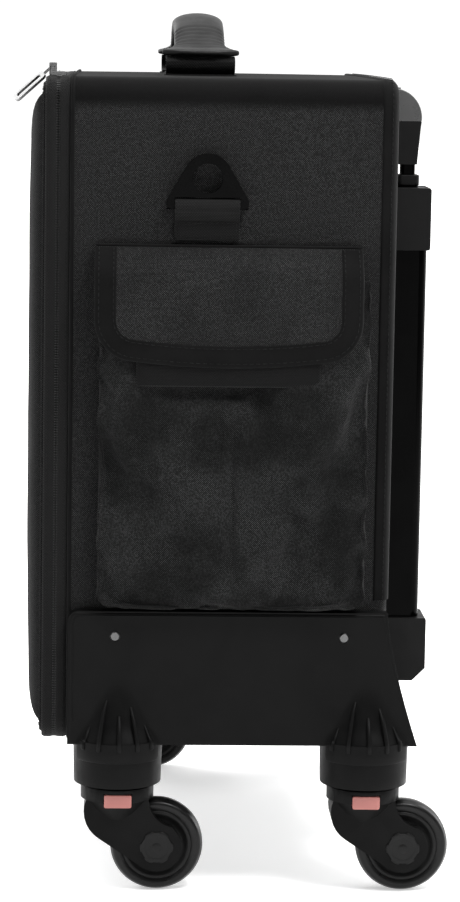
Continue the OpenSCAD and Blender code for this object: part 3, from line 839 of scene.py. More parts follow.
def make_piping(materials):
    """Cord bound in smooth cloth round the case's front seam, and flat binding round its back edge."""
    seam = outline_path(-0.35 * MM, FRONT + 1.1 * MM)
    front = tube("front_piping", seam, 1.15 * MM, materials["binding"], 8, True)
    piece(front, "root", "piping")
    floor_z = hi("right_guard")[2] - 3 * MM
    rings = []
    back = BACK - 0.4 * MM
    section = [
        (-0.2, -8.4), (-0.9, -8.1), (-1.15, -7), (-0.9, -5.8), (-0.85, -4), (-0.35, -2.2),
        (0.9, -0.8), (2.6, 0.5), (5, 1.2), (8, 1.2), (8.6, 0.5), (8.2, -0.6),
    ]
    for inset, behind in section:
        y = back + behind * MM
        ring = outline_path(inset * MM, y)
        ring = [ring[i] for i in kept_indices(floor_z)]
        for p in ring:
            crown_point(p, y)
        rings.append(ring)
    binding = loft("back_binding", rings, materials["binding"], closed=False)
    piece(binding, "root", "piping", "edge_piping")
    row_path = [outline_path(-1.05 * MM, back - 2.9 * MM)[i] for i in kept_indices(floor_z)]
    for p in row_path:
        crown_point(p, back - 4 * MM)
    row = stitches("binding_stitches", row_path, materials["thread"], *SEAM_THREAD)
    piece(row, "root", "piping")


def kept_indices(floor_z):
    """Places in an outline that lie above a height, in order from the lower right to the lower left."""
    heights = [z for _, z in outline_points(0)]
    above = [i for i, z in enumerate(heights) if z > floor_z]
    breaks = [k for k in range(1, len(above)) if above[k] != above[k - 1] + 1]
    return above if not breaks else above[breaks[0]:] + above[:breaks[0]]


def make_lid_panel(materials):
    """The padded front: a flat flange, a sewn seam, and a cushion that crowns in both directions."""
    face = hi("lid_panel")[1]
    front = lo("lid_panel")[1]
    depth = face - front
    rings = [outline_path(3.4 * MM, face + 1 * MM), outline_path(3.4 * MM, face - 0.6 * MM)]
    rings += [outline_path(4.2 * MM, face - 1.5 * MM), outline_path(8.6 * MM, face - 1.7 * MM)]
    for inset in (9.6, 10, 10.6, 12, 14, 17, 21, 26, 33, 42, 54, 68, 84, 102, 120, 138, 150):
        rings.append([pad_point(x, z, face, depth, inset) for x, z in outline_points(inset * MM)])
    pad = loft("lid_pad", rings, materials["lid"])
    fill_last_ring(pad, len(rings[0]))
    piece(pad, "lid", "case_fabric", "lid_panel")
    seam = outline_path(6.6 * MM, face - 1.75 * MM)
    row = stitches("lid_pad_stitches", seam, materials["thread"], *PAD_THREAD, closed=True)
    piece(row, "lid", "case_fabric")
    back_rings = [outline_path(inset * MM, face + 5 * MM) for inset in (3, 30, 70, 110, 150)]
    back_rings.insert(0, outline_path(3.2 * MM, face + 1 * MM))
    lining = loft("lid_lining", back_rings, materials["lining"])
    fill_last_ring(lining, len(back_rings[0]))
    piece(lining, "lid", "case_fabric")


def pad_point(x, z, face, depth, inset):
    middle_z = (TOP + BOTTOM) / 2
    across = x / (HALF_W - 10 * MM)
    along = (z - middle_z) / ((TOP - BOTTOM) / 2 - 10 * MM)
    rise = 1 - math.exp(-max(inset - 9.6, 0) / 5.5)
    crown = 0.62 + 0.22 * (1 - across * across) + 0.16 * (1 - along * along)
    slack = ripple((x, 0.3, z), 11, 0.8 * MM) + ripple((x, 0.7, z), 28, 0.35 * MM)
    return Vector((x, face - 1.2 * MM - (depth - 1.6 * MM) * rise * crown + slack * rise, z))


# ---- side pockets, flaps and ring straps ----


def make_pocket(label, side, materials):
    """Gathered cloth pocket, blown out a little and left to crease by a cloth simulation."""
    low, high = lo("right_pocket"), hi("right_pocket")
    depth = high[0] - low[0]
    y0, y1, z0, z1 = low[1], high[1], low[2], high[2]
    columns, rows, sides = 46, 54, 5
    grid = []
    for r in range(-sides, rows + 1):
        line = []
        for c in range(-sides, columns + sides + 1):
            u = min(max(c / columns, 0), 1)
            v = min(max(r / rows, 0), 1)
            drop = max(-r, 0, -c, c - columns) / sides
            y = y0 + (y1 - y0) * u
            z = z0 + (z1 - z0) * v
            corner = 10 * MM
            dy = max(y0 + corner - y, y - y1 + corner, 0)
            dz = max(z0 + corner - z, 0)
            reach = math.hypot(dy, dz)
            if dy > 0 and dz > 0 and reach > corner:
                y += (corner / reach - 1) * dy * (1 if y > (y0 + y1) / 2 else -1)
                z -= (corner / reach - 1) * dz
            x = low[0] + 0.6 * MM + (depth - 3.2 * MM) * math.sqrt(max(1 - drop * drop, 0))
            edge = min(u, 1 - u) * (y1 - y0)
            x -= 3 * MM * (1 - smooth(edge / (16 * MM)))
            slack = ripple((0.2 + 0.1 * side, y, z), 23, 1.0 * MM)
            line.append(Vector((x + slack * (1 - drop), y, z)))
        grid.append(line)
    cloth = loft("pocket_" + label, grid, materials["pocket"], closed=False)
    merge_doubles(cloth, 0.05 * MM)
    pins = cloth.vertex_groups.new(name="pins")
    for vertex in cloth.data.vertices:
        rim = vertex.co.x < low[0] + 8.6 * MM
        top = vertex.co.z > z1 - 0.1 * MM
        pins.add([vertex.index], 1.0 if rim or top else 0.0, "REPLACE")
    settle_cloth(cloth, "pins", frames=34, pressure=0.06, excess=-0.055)
    sculpt_folds(cloth, low, high)
    limit_cloth(cloth, low, high)
    if side < 0:
        cloth.data.transform(Matrix.Scale(-1, 4, (1, 0, 0)))
        cloth.data.flip_normals()
    thicken(cloth, 1.1 * MM, -1.0)
    sub = cloth.modifiers.new("subdivision", "SUBSURF")
    sub.levels = 1
    sub.render_levels = 1
    apply_modifiers(cloth)
    project_uv(cloth)
    cloth.data.shade_smooth()
    piece(cloth, "root", "case_fabric", label + "_pocket")


def settle_cloth(obj, group, frames, pressure, excess):
    cloth = obj.modifiers.new("cloth", "CLOTH")
    settings = cloth.settings
    settings.quality = 8
    settings.vertex_group_mass = group
    settings.mass = 0.004
    settings.tension_stiffness = 15
    settings.compression_stiffness = 12
    settings.shear_stiffness = 3
    settings.bending_stiffness = 0.08
    settings.air_damping = 2
    settings.use_pressure = True
    settings.uniform_pressure_force = pressure
    settings.shrink_min = excess
    settings.effector_weights.gravity = 0.25
    cloth.collision_settings.use_collision = False
    cloth.collision_settings.use_self_collision = False
    cloth.point_cache.frame_start = 1
    cloth.point_cache.frame_end = frames
    for step in range(1, frames + 1):
        scene.frame_set(step)
    apply_modifiers(obj)
    scene.frame_set(1)


# Soft folds in the pocket's face. Each has the start and end of its line, as
# shares of the face's width and height, then its half width and its rise in millimetres.
FOLDS = [
    (0.88, 0.66, 0.78, 0.33, 8, 3.4),
    (0.95, 0.60, 0.86, 0.30, 7, -2.6),
    (0.78, 0.34, 0.48, 0.08, 9, 3.6),
    (0.86, 0.28, 0.62, 0.05, 8, -2.6),
    (0.04, 0.27, 0.11, 0.10, 6, 3.0),
    (0.11, 0.12, 0.46, 0.06, 7, 2.6),
    (0.14, 0.22, 0.42, 0.17, 7, -2.2),
    (0.64, 0.16, 0.70, 0.02, 6, 2.8),
    (0.92, 0.03, 0.99, 0.14, 6, 2.8),
    (0.15, 0.66, 0.36, 0.30, 9, 2.4),
    (0.26, 0.70, 0.50, 0.36, 9, -2.0),
    (0.48, 0.40, 0.45, 0.06, 10, -2.0),
    (0.57, 0.62, 0.52, 0.34, 9, 2.0),
    (0.33, 0.28, 0.22, 0.04, 7, 2.0),
    (0.06, 0.62, 0.05, 0.36, 6, -1.8),
]
FOLD_STRENGTH = 1.35


def sculpt_folds(obj, low, high):
    """Raises and sinks soft ridges in the pocket's face, each fading out at its ends."""
    width, height = high[1] - low[1], high[2] - low[2]
    for vertex in obj.data.vertices:
        p = vertex.co
        if p.x < low[0] + 9 * MM:
            continue
        moved = 0.0
        for u0, v0, u1, v1, spread, rise in FOLDS:
            start = Vector((low[1] + u0 * width, low[2] + v0 * height))
            along = Vector((low[1] + u1 * width, low[2] + v1 * height)) - start
            here = Vector((p.y, p.z)) - start
            t = min(max(here.dot(along) / along.length_squared, 0.0), 1.0)
            away = (here - along * t).length / (spread * MM)
            fade = math.exp(-away * away) * math.sin(math.pi * (0.12 + 0.76 * t))
            moved += FOLD_STRENGTH * rise * MM * fade
        p.x += moved


def limit_cloth(obj, low, high):
    """Keeps the settled cloth off the wall, off the flap and inside the pocket's own room."""
    flap_low = lo("right_flap")[2] - 4 * MM
    for vertex in obj.data.vertices:
        p = vertex.co
        under_flap = smooth((p.z - flap_low + 10 * MM) / (10 * MM))
        most = high[0] + 3.5 * MM - 3.9 * MM * under_flap
        if p.x > most - 2 * MM:
            p.x = most - 2 * MM * math.exp(-(p.x - most + 2 * MM) / (2 * MM))
        p.x = max(p.x, low[0] + 0.3 * MM)
        p.y = min(max(p.y, low[1] - 3 * MM), high[1] + 3 * MM)
        p.z = min(max(p.z, low[2] + 0.4 * MM), high[2] + 0.5 * MM)


FLAP_CORNER = 20 * MM
FLAP_FOLD = 9 * MM


def flap_edge_z(y, y0, y1, low_z):
    """Height of the flap's lower edge: a shallow arc with round corners."""
    middle = (y0 + y1) / 2
    half = (y1 - y0) / 2
    t = (y - middle) / half
    z = low_z + 6.5 * MM * t * t
    edge = half - abs(y - middle)
    if edge < FLAP_CORNER:
        gone = FLAP_CORNER - edge
        z += FLAP_CORNER - math.sqrt(max(FLAP_CORNER ** 2 - gone ** 2, 0))
    return z


def flap_path(fold_x, fold_z, top_x, top_z, low_z):
    """The flap's section as (x, z) points: out from the seam, round the fold and straight down."""
    slope = Vector((fold_x - top_x, fold_z - top_z)).normalized()
    start = Vector((fold_x, fold_z)) - slope * FLAP_FOLD
    end = Vector((fold_x, fold_z - FLAP_FOLD))
    points = [Vector((top_x, top_z))]
    for i in range(1, 8):
        rise = 0.8 * MM * math.sin(math.pi * i / 8)
        points.append(Vector((top_x, top_z)).lerp(start, i / 8) + Vector((0, rise)))
    for i in range(9):
        t = i / 8
        a = start.lerp(Vector((fold_x, fold_z)), t)
        b = Vector((fold_x, fold_z)).lerp(end, t)
        points.append(a.lerp(b, t))
    for i in range(1, 25):
        points.append(end.lerp(Vector((fold_x, low_z)), i / 24))
    return points


def at_length(points, wanted):
    gone = 0.0
    for a, b in zip(points, points[1:]):
        step = (b - a).length
        if gone + step >= wanted:
            return a.lerp(b, (wanted - gone) / step)
        gone += step
    return points[-1] + (points[-1] - points[-2]).normalized() * (wanted - gone)


def flap_surface(side, y, down, lift, path, seed):
    """A point of the flap from its place across and down the cloth, lifted off the surface by lift."""
    here = at_length(path, down)
    beyond = at_length(path, down + 1 * MM)
    along = (beyond - here).normalized()
    out = Vector((-along.y, along.x))
    if out.x < 0:
        out = -out
    wave = ripple((seed, y, here.y), 19, 1.1 * MM) + ripple((seed + 3, y, here.y), 45, 0.35 * MM)
    share = smooth(down / (18 * MM))
    sag = -1.2 * MM * share
    x = here.x + out.x * lift + (wave * 0.9 + sag * 0.3) * share
    return Vector((x * side, y, here.y + out.y * lift))


def make_flap(label, side, materials):
    """Pocket flap: one cloth with binding sewn round three sides and a rolled seam at the top."""
    low, high = lo("right_flap"), hi("right_flap")
    y0, y1 = low[1] + 0.3 * MM, high[1] - 0.3 * MM
    face_x = high[0] - 1.4 * MM
    path = flap_path(face_x, high[2] - 15 * MM, low[0] + 1.3 * MM, high[2] - 0.9 * MM, low[2])
    straight = sum((b - a).length for a, b in zip(path, path[1:]))
    columns, rows = 60, 44
    grid = []
    for r in range(rows + 1):
        line = []
        for c in range(columns + 1):
            t = -1 + 2 * c / columns
            t = math.copysign(1 - (1 - abs(t)) ** 1.35, t)
            y = (y0 + y1) / 2 + (y1 - y0) / 2 * t
            length = straight - (flap_edge_z(y, y0, y1, low[2]) - low[2])
            down = length * r / rows
            line.append(flap_surface(side, y, down, 0.0, path, 1.7 + side))
        grid.append(line)
    cloth = loft("flap_" + label, grid, materials["flap"], closed=False)
    thicken(cloth, 1.6 * MM)
    project_uv(cloth)
    cloth.data.shade_smooth()
    flap_area(y0, y1, low[2], straight)
    piece(cloth, label + "_flap", "case_fabric", label + "_flap")
    make_flap_binding(label, side, path, straight, y0, y1, low[2], materials)


def flap_area(y0, y1, low_z, straight):
    count = 200
    total = 0.0
    for i in range(count):
        y = y0 + (y1 - y0) * (i + 0.5) / count
        total += (straight - (flap_edge_z(y, y0, y1, low_z) - low_z)) * (y1 - y0) / count
    return total


def flap_rim(y0, y1, low_z, straight, inset):
    """(y, down) along the flap's free edge, moved inwards, from front top to rear top."""
    rim = [(y0, 4 * MM + (straight - FLAP_CORNER - 12 * MM) * i / 24) for i in range(24)]
    for i in range(81):
        t = -1 + 2 * i / 80
        t = math.copysign(1 - (1 - abs(t)) ** 1.6, t)
        y = (y0 + y1) / 2 + (y1 - y0) / 2 * t
        rim.append((y, straight - (flap_edge_z(y, y0, y1, low_z) - low_z)))
    rim += [(y1, d) for _, d in reversed(rim[:24])]
    rim = [(p.x, p.y) for p in resample([Vector((a, b, 0)) for a, b in rim], 2.4 * MM)]
    moved = []
    for i, (y, d) in enumerate(rim):
        before = rim[max(i - 1, 0)]
        after = rim[min(i + 1, len(rim) - 1)]
        dy, dd = after[0] - before[0], after[1] - before[1]
        size = math.hypot(dy, dd)
        moved.append((y + dd / size * inset, d - dy / size * inset))
    return moved


def make_flap_binding(label, side, path, straight, y0, y1, low_z, materials):
    profile = [
        (-0.5, -1.3), (-0.7, -0.2), (-0.4, 1.1), (0.6, 1.6), (2.5, 1.45),
        (6, 1.35), (10, 1.45), (11.6, 1.5), (12, 1.1), (12, 0.5),
    ]
    seed = 1.7 + side
    rows = []
    for inset, lift in profile:
        rim = flap_rim(y0, y1, low_z, straight, inset * MM)
        rows.append([flap_surface(side, y, d, lift * MM, path, seed) for y, d in rim])
    binding = loft("flap_binding_" + label, rows, materials["binding"], closed=False)
    piece(binding, label + "_flap", "piping")
    for index, inset in enumerate((1.8, 10.4)):
        rim = flap_rim(y0, y1, low_z, straight, inset * MM)
        row = [flap_surface(side, y, d, 1.65 * MM, path, seed) for y, d in rim]
        name = "flap_stitches_%s_%d" % (label, index)
        thread = stitches(name, row, materials["thread"], *FLAP_THREAD)
        piece(thread, label + "_flap", "piping")
    across = [y0 + (y1 - y0) * i / 50 for i in range(51)]
    seam = [flap_surface(side, y, 1.2 * MM, 0.7 * MM, path, seed) for y in across]
    roll = tube("flap_seam_" + label, seam, 1.35 * MM, materials["binding"], 8, flat=0.8)
    piece(roll, label + "_flap", "piping")


def make_hook_strip(label, side, materials):
    """Loop tape sewn to the pocket where the flap closes."""
    front = hi("right_pocket")[0] + 0.2 * MM
    flap_low = lo("right_flap")[2]
    section = [
        (3, -0.5), (2.6, 0.3), (0, 0.5), (-4, 0.5), (-8, 0.5), (-10.4, 0.4), (-11.4, 0.1), (-11.7, -0.6),
    ]
    rows = []
    for z, x in section:
        row = []
        for i in range(55):
            y = (-60 + 108 * i / 54) * MM
            wave = ripple((5.5 * side, y, flap_low), 21, 1.0 * MM)
            ends = smooth(i / 2) * smooth((54 - i) / 2)
            out = front + (x * ends - 0.5 * (1 - ends)) * MM + wave * 0.5
            row.append(Vector((out * side, y, flap_low + z * MM)))
        rows.append(row)
    strip = loft("loop_tape_" + label, rows, materials["loop"], closed=False)
    thicken(strip, 0.5 * MM)
    piece(strip, "root", "zip_tape")


def make_ring_straps(materials):
    """Webbing folded round each ring's bar and sewn to the case wall."""
    low, high = lo("ring_straps"), hi("ring_straps")
    hinges = {joint["name"]: joint for joint in frame["record"]["behaviour"]["joints"]}
    bar_z = hinges["right_ring_hinge"]["pos_m"][2]
    bar_x = (lo("right_ring")[0] + hi("right_ring")[0]) / 2
    section = [(HALF_W + x * MM, low[2] + z * MM) for x, z in ((0.1, 0.4), (2.2, 0.2), (2.6, 1))]
    section += [(HALF_W + 2.5 * MM, bar_z - 14 * MM), (HALF_W + 2.7 * MM, bar_z - 9 * MM)]
    section += arc((bar_x, bar_z), 4.2 * MM, -70, 175, 14)
    section += [(HALF_W + 0.2 * MM, bar_z - 3 * MM)]
    for label, side in SIDES.items():
        outline = [(x * side, z) for x, z in section]
        strap = prism("ring_strap_" + label, outline, low[1], high[1], "y", materials["webbing"], 0.5 * MM)
        piece(strap, "root", "webbing", "ring_straps")
        x = (HALF_W + 2.75 * MM) * side
        y0, y1 = low[1] + 2 * MM, high[1] - 2 * MM
        z0, z1 = low[2] + 2.2 * MM, bar_z - 10 * MM
        loop = [Vector((x, y0, z0)), Vector((x, y1, z0)), Vector((x, y1, z1)), Vector((x, y0, z1))]
        name = "ring_strap_stitches_" + label
        row = stitches(name, loop, materials["thread"], *FINE_THREAD, closed=True)
        piece(row, "root", "webbing")


# ---- carry handle ----

HANDLE_Y = (lo("handle_grip")[1] + hi("handle_grip")[1]) / 2
GRIP_END = hi("handle_grip")[0]
GRIP_TOP = hi("handle_grip")[2]
GRIP_FOOT = lo("handle_grip")[2]


def grip_section(x):
    """(middle height, half width, half thickness) of the grip at x from its middle."""
    t = min(abs(x) / (GRIP_END - 6 * MM), 1.0)
    rise = GRIP_TOP - GRIP_FOOT
    height = GRIP_FOOT + 2.3 * MM + (rise - 8.8 * MM) * (1 - smooth((t - 0.08) / 0.92) ** 1.15)
    flare = smooth((t - 0.72) / 0.28)
    half_w = 15.6 * MM + 7.8 * MM * flare
    half_t = 6.5 * MM - 4.2 * MM * smooth((t - 0.45) / 0.5)
    return height, half_w, half_t


def make_handle(materials):
    stations = 260
    ring_points = 40
    rings = []
    for i in range(stations + 1):
        x = GRIP_END * (-1 + 2 * i / stations)
        height, half_w, half_t = grip_section(x)
        end = smooth((GRIP_END - abs(x)) / (5 * MM)) * 0.5 + 0.5
        t = abs(x) / GRIP_END
        ribbed = smooth((t - 0.45) / 0.05) * (1 - smooth((t - 0.83) / 0.04))
        rib = (0.5 + 0.5 * math.cos(x / (4.9 * MM) * 2 * math.pi)) ** 0.6
        ring = []
        for k in range(ring_points):
            a = 2 * math.pi * k / ring_points
            ca, sa = math.cos(a), math.sin(a)
            power = 2 / (2.05 + 2.2 * smooth((t - 0.7) / 0.25))
            y = math.copysign(abs(ca) ** power, ca) * half_w * end
            z = math.copysign(abs(sa) ** power, sa) * half_t * (end if abs(x) > GRIP_END - 5 * MM else 1)
            upper = smooth((sa + 0.25) / 0.6)
            cut = ribbed * upper * (1 - rib) * 1.7 * MM
            shrink = 1 - cut / max(math.hypot(y, z), 1 * MM)
            ring.append(Vector((x, HANDLE_Y + y * shrink, height + z * shrink)))
        rings.append(ring)
    grip = loft("carry_grip", rings, materials["grip"], caps=True)
    piece(grip, "top_handle", "grip_plastic", "handle_grip")
    make_handle_straps(materials)


def make_handle_straps(materials):
    half_w = 21 * MM
    ground = TOP + top_rise(0.07, HANDLE_Y)
    for label, side in SIDES.items():
        from_top = ((46, 0.9), (58, 1.0), (70, 1.1), (80, 1.2), (87, 1.8), (90.6, 4.2), (91.4, 7.5))
        from_grip = ((91.0, -3.4), (89.4, -1.5), (86, -0.8), (81, -0.7))
        path = [(x, ground + z * MM) for x, z in from_top]
        path += [(x, GRIP_FOOT + z * MM) for x, z in from_grip]
        line = smooth_path([Vector((x * MM * side, 0, z)) for x, z in path], 3)
        across = [Vector((0, HANDLE_Y - half_w + 2 * half_w * k / 14, 0)) for k in range(15)]
        rows = [[p + step for step in across] for p in line]
        strap = loft("handle_strap_" + label, rows, materials["webbing"], closed=False)
        thicken(strap, 1.9 * MM)
        bevelled(strap, 0.45 * MM, 2)
        apply_modifiers(strap)
        project_uv(strap)
        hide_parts("handle_webbing")
        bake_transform(strap)
        make_anchor_patch(label, side, ground, materials)


def smooth_path(points, rounds):
    for _ in range(rounds):
        finer = [points[0]]
        for a, b in zip(points, points[1:]):
            finer += [a.lerp(b, 0.25), a.lerp(b, 0.75)]
        points = finer + [points[-1]]
    return resample(points, 1.6 * MM)


def make_anchor_patch(label, side, ground, materials):
    """The patch under each strap with its edge and cross stitched down."""
    low, high = lo("handle_anchors"), hi("handle_anchors")
    near, far = (44 * MM, high[0] + 0.5 * MM)
    corners = rounded_rect((near, low[1] - 0.6 * MM), (far, high[1] + 0.6 * MM), 3 * MM, 4)
    outline = [(x * side, y) for x, y in corners]
    under, over = ground - 2.4 * MM, ground + 0.5 * MM
    patch = prism("handle_patch_" + label, outline, under, over, "z", materials["binding"], 0.6 * MM)
    piece(patch, "root", "webbing", "handle_anchors")
    z = ground + 2.15 * MM
    x0, x1 = 49 * MM * side, 80 * MM * side
    y0, y1 = low[1] + 3 * MM, high[1] - 3 * MM
    loops = [
        [(x0, y0, z), (x1, y0, z), (x1, y1, z), (x0, y1, z), (x0, y0, z)],
        [(x0, y0, z), (x1, y1, z)],
        [(x0, y1, z), (x1, y0, z)],
    ]
    rows = []
    for line in loops:
        rows.append(stitches("sew", line, materials["thread"], *FINE_THREAD))
    row = joined("handle_stitches_" + label, rows)
    piece(row, "root", "webbing")
    edge_z = ground + 0.42 * MM
    inner_low, inner_high = (near + 1.4 * MM, low[1] + 2.2 * MM), (far - 1.4 * MM, high[1] - 2.2 * MM)
    inner = rounded_rect(inner_low, inner_high, 2 * MM, 4)
    rim = [Vector((x * side, y, edge_z)) for x, y in inner]
    name = "handle_patch_stitches_" + label
    edge = stitches(name, rim, materials["thread"], *FINE_THREAD, closed=True)
    piece(edge, "root", "webbing")


# ---- casters, guards and trolley details ----

def axle_place(corner):
    low, high = lo("wheel_" + corner), hi("wheel_" + corner)
    return [(low[i] + high[i]) / 2 for i in range(3)]


def about_x(centre, x, radius, angle):
    """A point at a distance from the line along X through centre."""
    return Vector((x, centre[1] + radius * math.cos(angle), centre[2] + radius * math.sin(angle)))


def revolve_x(name, profile, centre, material, steps=72):
    """A closed ring of (x, radius) points turned about the X axis through centre."""
    rings = []
    for i in range(steps):
        a = 2 * math.pi * i / steps
        rings.append([about_x(centre, centre[0] + x, r, a) for x, r in profile])
    count = len(profile)
    vertices = [p for ring in rings for p in ring]
    faces = []
    for s in range(steps):
        t = (s + 1) % steps
        for i in range(count):
            j = (i + 1) % count
            faces.append((s * count + i, s * count + j, t * count + j, t * count + i))
    obj = mesh_object(name, vertices, faces, material)
    face_outwards(obj)
    project_uv(obj)
    return obj


def make_wheel(corner, materials):
    """Tyre with rounded shoulders on a moulded hub with a raised ring and a bored middle."""
    centre = axle_place(corner)
    radius = (hi("wheel_" + corner)[2] - lo("wheel_" + corner)[2]) / 2
    half = (hi("wheel_" + corner)[0] - lo("wheel_" + corner)[0]) / 2
    right_half = [(0, radius)]
    right_half += [(half * 0.45, radius - 0.12 * MM), (half - 2.6 * MM, radius - 0.75 * MM)]
    right_half += arc((half - 2.6 * MM, radius - 3.6 * MM), 2.6 * MM, 78, 0, 7)
    right_half += [(half - x * MM, radius - r * MM) for x, r in ((0.1, 6.2), (0.5, 6.6), (0.5, 7.1))]
    tyre_profile = right_half + [(-x, r) for x, r in reversed(right_half[1:])]
    tyre = revolve_x("tyre_" + corner, tyre_profile, centre, materials["rubber"])
    rim_steps = ((0.5, 6.9), (0.2, 7.5), (0.25, 9.4), (1.2, 10.2))
    boss_steps = ((1.4, 12.5), (0.2, 11.6), (0, 10.8), (0, 5.2), (0.6, 4.6))
    hub_half = [(half - x * MM, radius - r * MM) for x, r in rim_steps]
    hub_half += [(half - x * MM, r * MM) for x, r in boss_steps]
    hub_profile = hub_half + [(-x, r) for x, r in reversed(hub_half)]
    hub = revolve_x("hub_" + corner, hub_profile, centre, materials["hub"])
    wheel = joined("wheel_body_" + corner, [tyre, hub])
    piece(wheel, "wheel_" + corner, "wheel_rubber", "wheel_" + corner)


def make_hub_caps(corner, materials):
    """The notched cap over each end of the axle."""
    centre = axle_place(corner)
    low, high = lo("axle_" + corner), hi("axle_" + corner)
    for name, face, out in (("outer", high[0], 1), ("inner", low[0], -1)):
        rings = []
        steps = 96
        for depth, shrink in ((-1.7, 0.0), (-0.5, 0.0), (-0.2, 0.35), (-0.1, 0.8)):
            ring = []
            for i in range(steps):
                a = 2 * math.pi * i / steps
                notch = smooth((math.cos(6 * a) + 0.25) / 0.35)
                r = (9.3 + 0.9 * notch - shrink) * MM
                ring.append(about_x(centre, face + out * depth * MM, r, a))
            rings.append(ring)
        for depth, r in ((0.1, 6.9), (-0.1, 6.4), (-0.15, 3.2), (0.1, 2.8), (0.1, 0.6)):
            x = face + out * depth * MM
            rings.append([about_x(centre, x, r * MM, 2 * math.pi * i / steps) for i in range(steps)])
        cap = loft("hub_cap_%s_%s" % (name, corner), rings, materials["hub"], caps=True)
        face_outwards(cap)
        piece(cap, "caster_" + corner, "axle_cap")


def make_button_frame(corner, side, materials):
    """The raised lip round the brake button's window, and the thumb recess under it."""
    low, high = lo("button_" + corner), hi("button_" + corner)
    swivel = (low[1] + high[1]) / 2
    outer_x = axle_place(corner)[0] + side * 12.4 * MM
    margin = 0.7 * MM
    rim_low, rim_high = (low[1] - margin, low[2] - margin), (high[1] + margin, high[2] + margin)
    rim = rounded_rect(rim_low, rim_high, 1.4 * MM, 4)
    path = [Vector((outer_x + side * 0.1 * MM, y, z)) for y, z in rim]
    lip = tube("button_lip_" + corner, path, 0.55 * MM, materials["guard"], 8, True)
    piece(lip, "caster_" + corner, "guard_plastic")
    rings = []
    for r, depth in ((1.25, -0.25), (1.12, 0.35), (1.0, 0.5), (0.9, 0.3), (0.6, 0.12), (0.2, 0.05)):
        ring = []
        for i in range(40):
            a = 2 * math.pi * i / 40
            ring.append(Vector((
                outer_x + side * depth * MM, swivel + 0.5 * MM + 4.6 * MM * r * math.cos(a),
                low[2] - 5.6 * MM + 1.9 * MM * r * math.sin(a),
            )))
        rings.append(ring)
    dish = loft("thumb_dish_" + corner, rings, materials["guard"], caps=True)
    piece(dish, "caster_" + corner, "guard_plastic")


def make_button(corner, side, materials):
    """The coral brake button, softly crowned."""
    low, high = lo("button_" + corner), hi("button_" + corner)
    outline = rounded_rect((low[1], low[2]), (high[1], high[2]), 1.1 * MM, 4)
    body = prism("brake_button_" + corner, outline, low[0], high[0], "x", materials["coral"], 0.7 * MM, 4)
    piece(body, "button_" + corner, "button_coral", "button_" + corner)


def about_z(centre, side, radius, angle, z):
    """A point at a distance from a vertical axis, the angle in degrees from straight out."""
    a = math.radians(angle)
    return Vector((centre[0] + side * radius * math.cos(a), centre[1] + radius * math.sin(a), z))


def shell_patch(name, centre, side, angles, levels, material):
    """A patch wrapped round a vertical axis: levels are (z, radius), angles in degrees from straight out."""
    rows = [[about_z(centre, side, r, a, z) for a in angles] for z, r in levels]
    return loft(name, rows, material, closed=False)


def make_guard_detail(label, side, corner_pair, materials):
    """The shield that each guard drops over a caster's socket, with its upright ribs."""
    guard_low = lo("right_guard")[2]
    make_guard_skin(label, side, corner_pair, materials)
    for corner in corner_pair:
        axis = swivel_axis(corner)
        steps = ((-9.4, 26.8), (-9.2, 28.0), (-7.6, 28.7), (-3, 28.8), (2.5, 28.6))
        levels = [(guard_low + z * MM, r * MM) for z, r in steps]
        angles = [-58 + 116 * i / 30 for i in range(31)]
        shield = shell_patch("guard_shield_" + corner, axis, side, angles, levels, materials["guard"])
        thicken(shield, 1.8 * MM, -1.0 * side)
        bevelled(shield, 0.5 * MM, 2)
        apply_modifiers(shield)
        piece(shield, "root", "guard_plastic")
        ribs = []
        for angle, top in ((-46, 13), (-23, 30), (2, 19), (24, 25), (44, 14)):
            rib_levels = (
                (-2.5, 28.4), (-1.5, 29.9), (4, 29.5), (top - 9, 30.0 - 0.34 * (top - 9)),
                (top - 2, 28.8 - 0.4 * (top - 2)), (top, 26.6 - 0.4 * top),
            )
            rows = []
            for z, r in rib_levels:
                row = []
                for da, dr in ((-2.6, -2.0), (-2.4, -0.4), (-1.5, 0.0), (1.5, 0.0), (2.4, -0.4), (2.6, -2.0)):
                    row.append(about_z(axis, side, (r + dr) * MM, angle + da, guard_low + z * MM))
                rows.append(row)
            ribs.append(loft("rib", rows, materials["guard"], closed=False))
        rib_set = joined("guard_ribs_" + corner, ribs)
        piece(rib_set, "root", "guard_plastic")


def skin_out(y, z, low_z, axes):
    """How far out the guard's moulded face stands: the flat plate, swelling smoothly over each caster."""
    plate = HALF_W + 8.06 * MM
    height = z - low_z
    radius = 27.1 * MM - height * 0.393 + 1.6 * MM * (1 - smooth(height / (13 * MM)))
    out = plate
    for axis in axes:
        off = y - axis[1]
        if abs(off) < radius:
            swell = abs(axis[0]) + math.sqrt(radius ** 2 - off ** 2)
        else:
            swell = abs(axis[0]) - (abs(off) - radius) * 2
        soft = 5 * MM
        near = max(soft - abs(out - swell), 0) / soft
        out = max(out, swell) + near * near * soft * 0.25
    return out


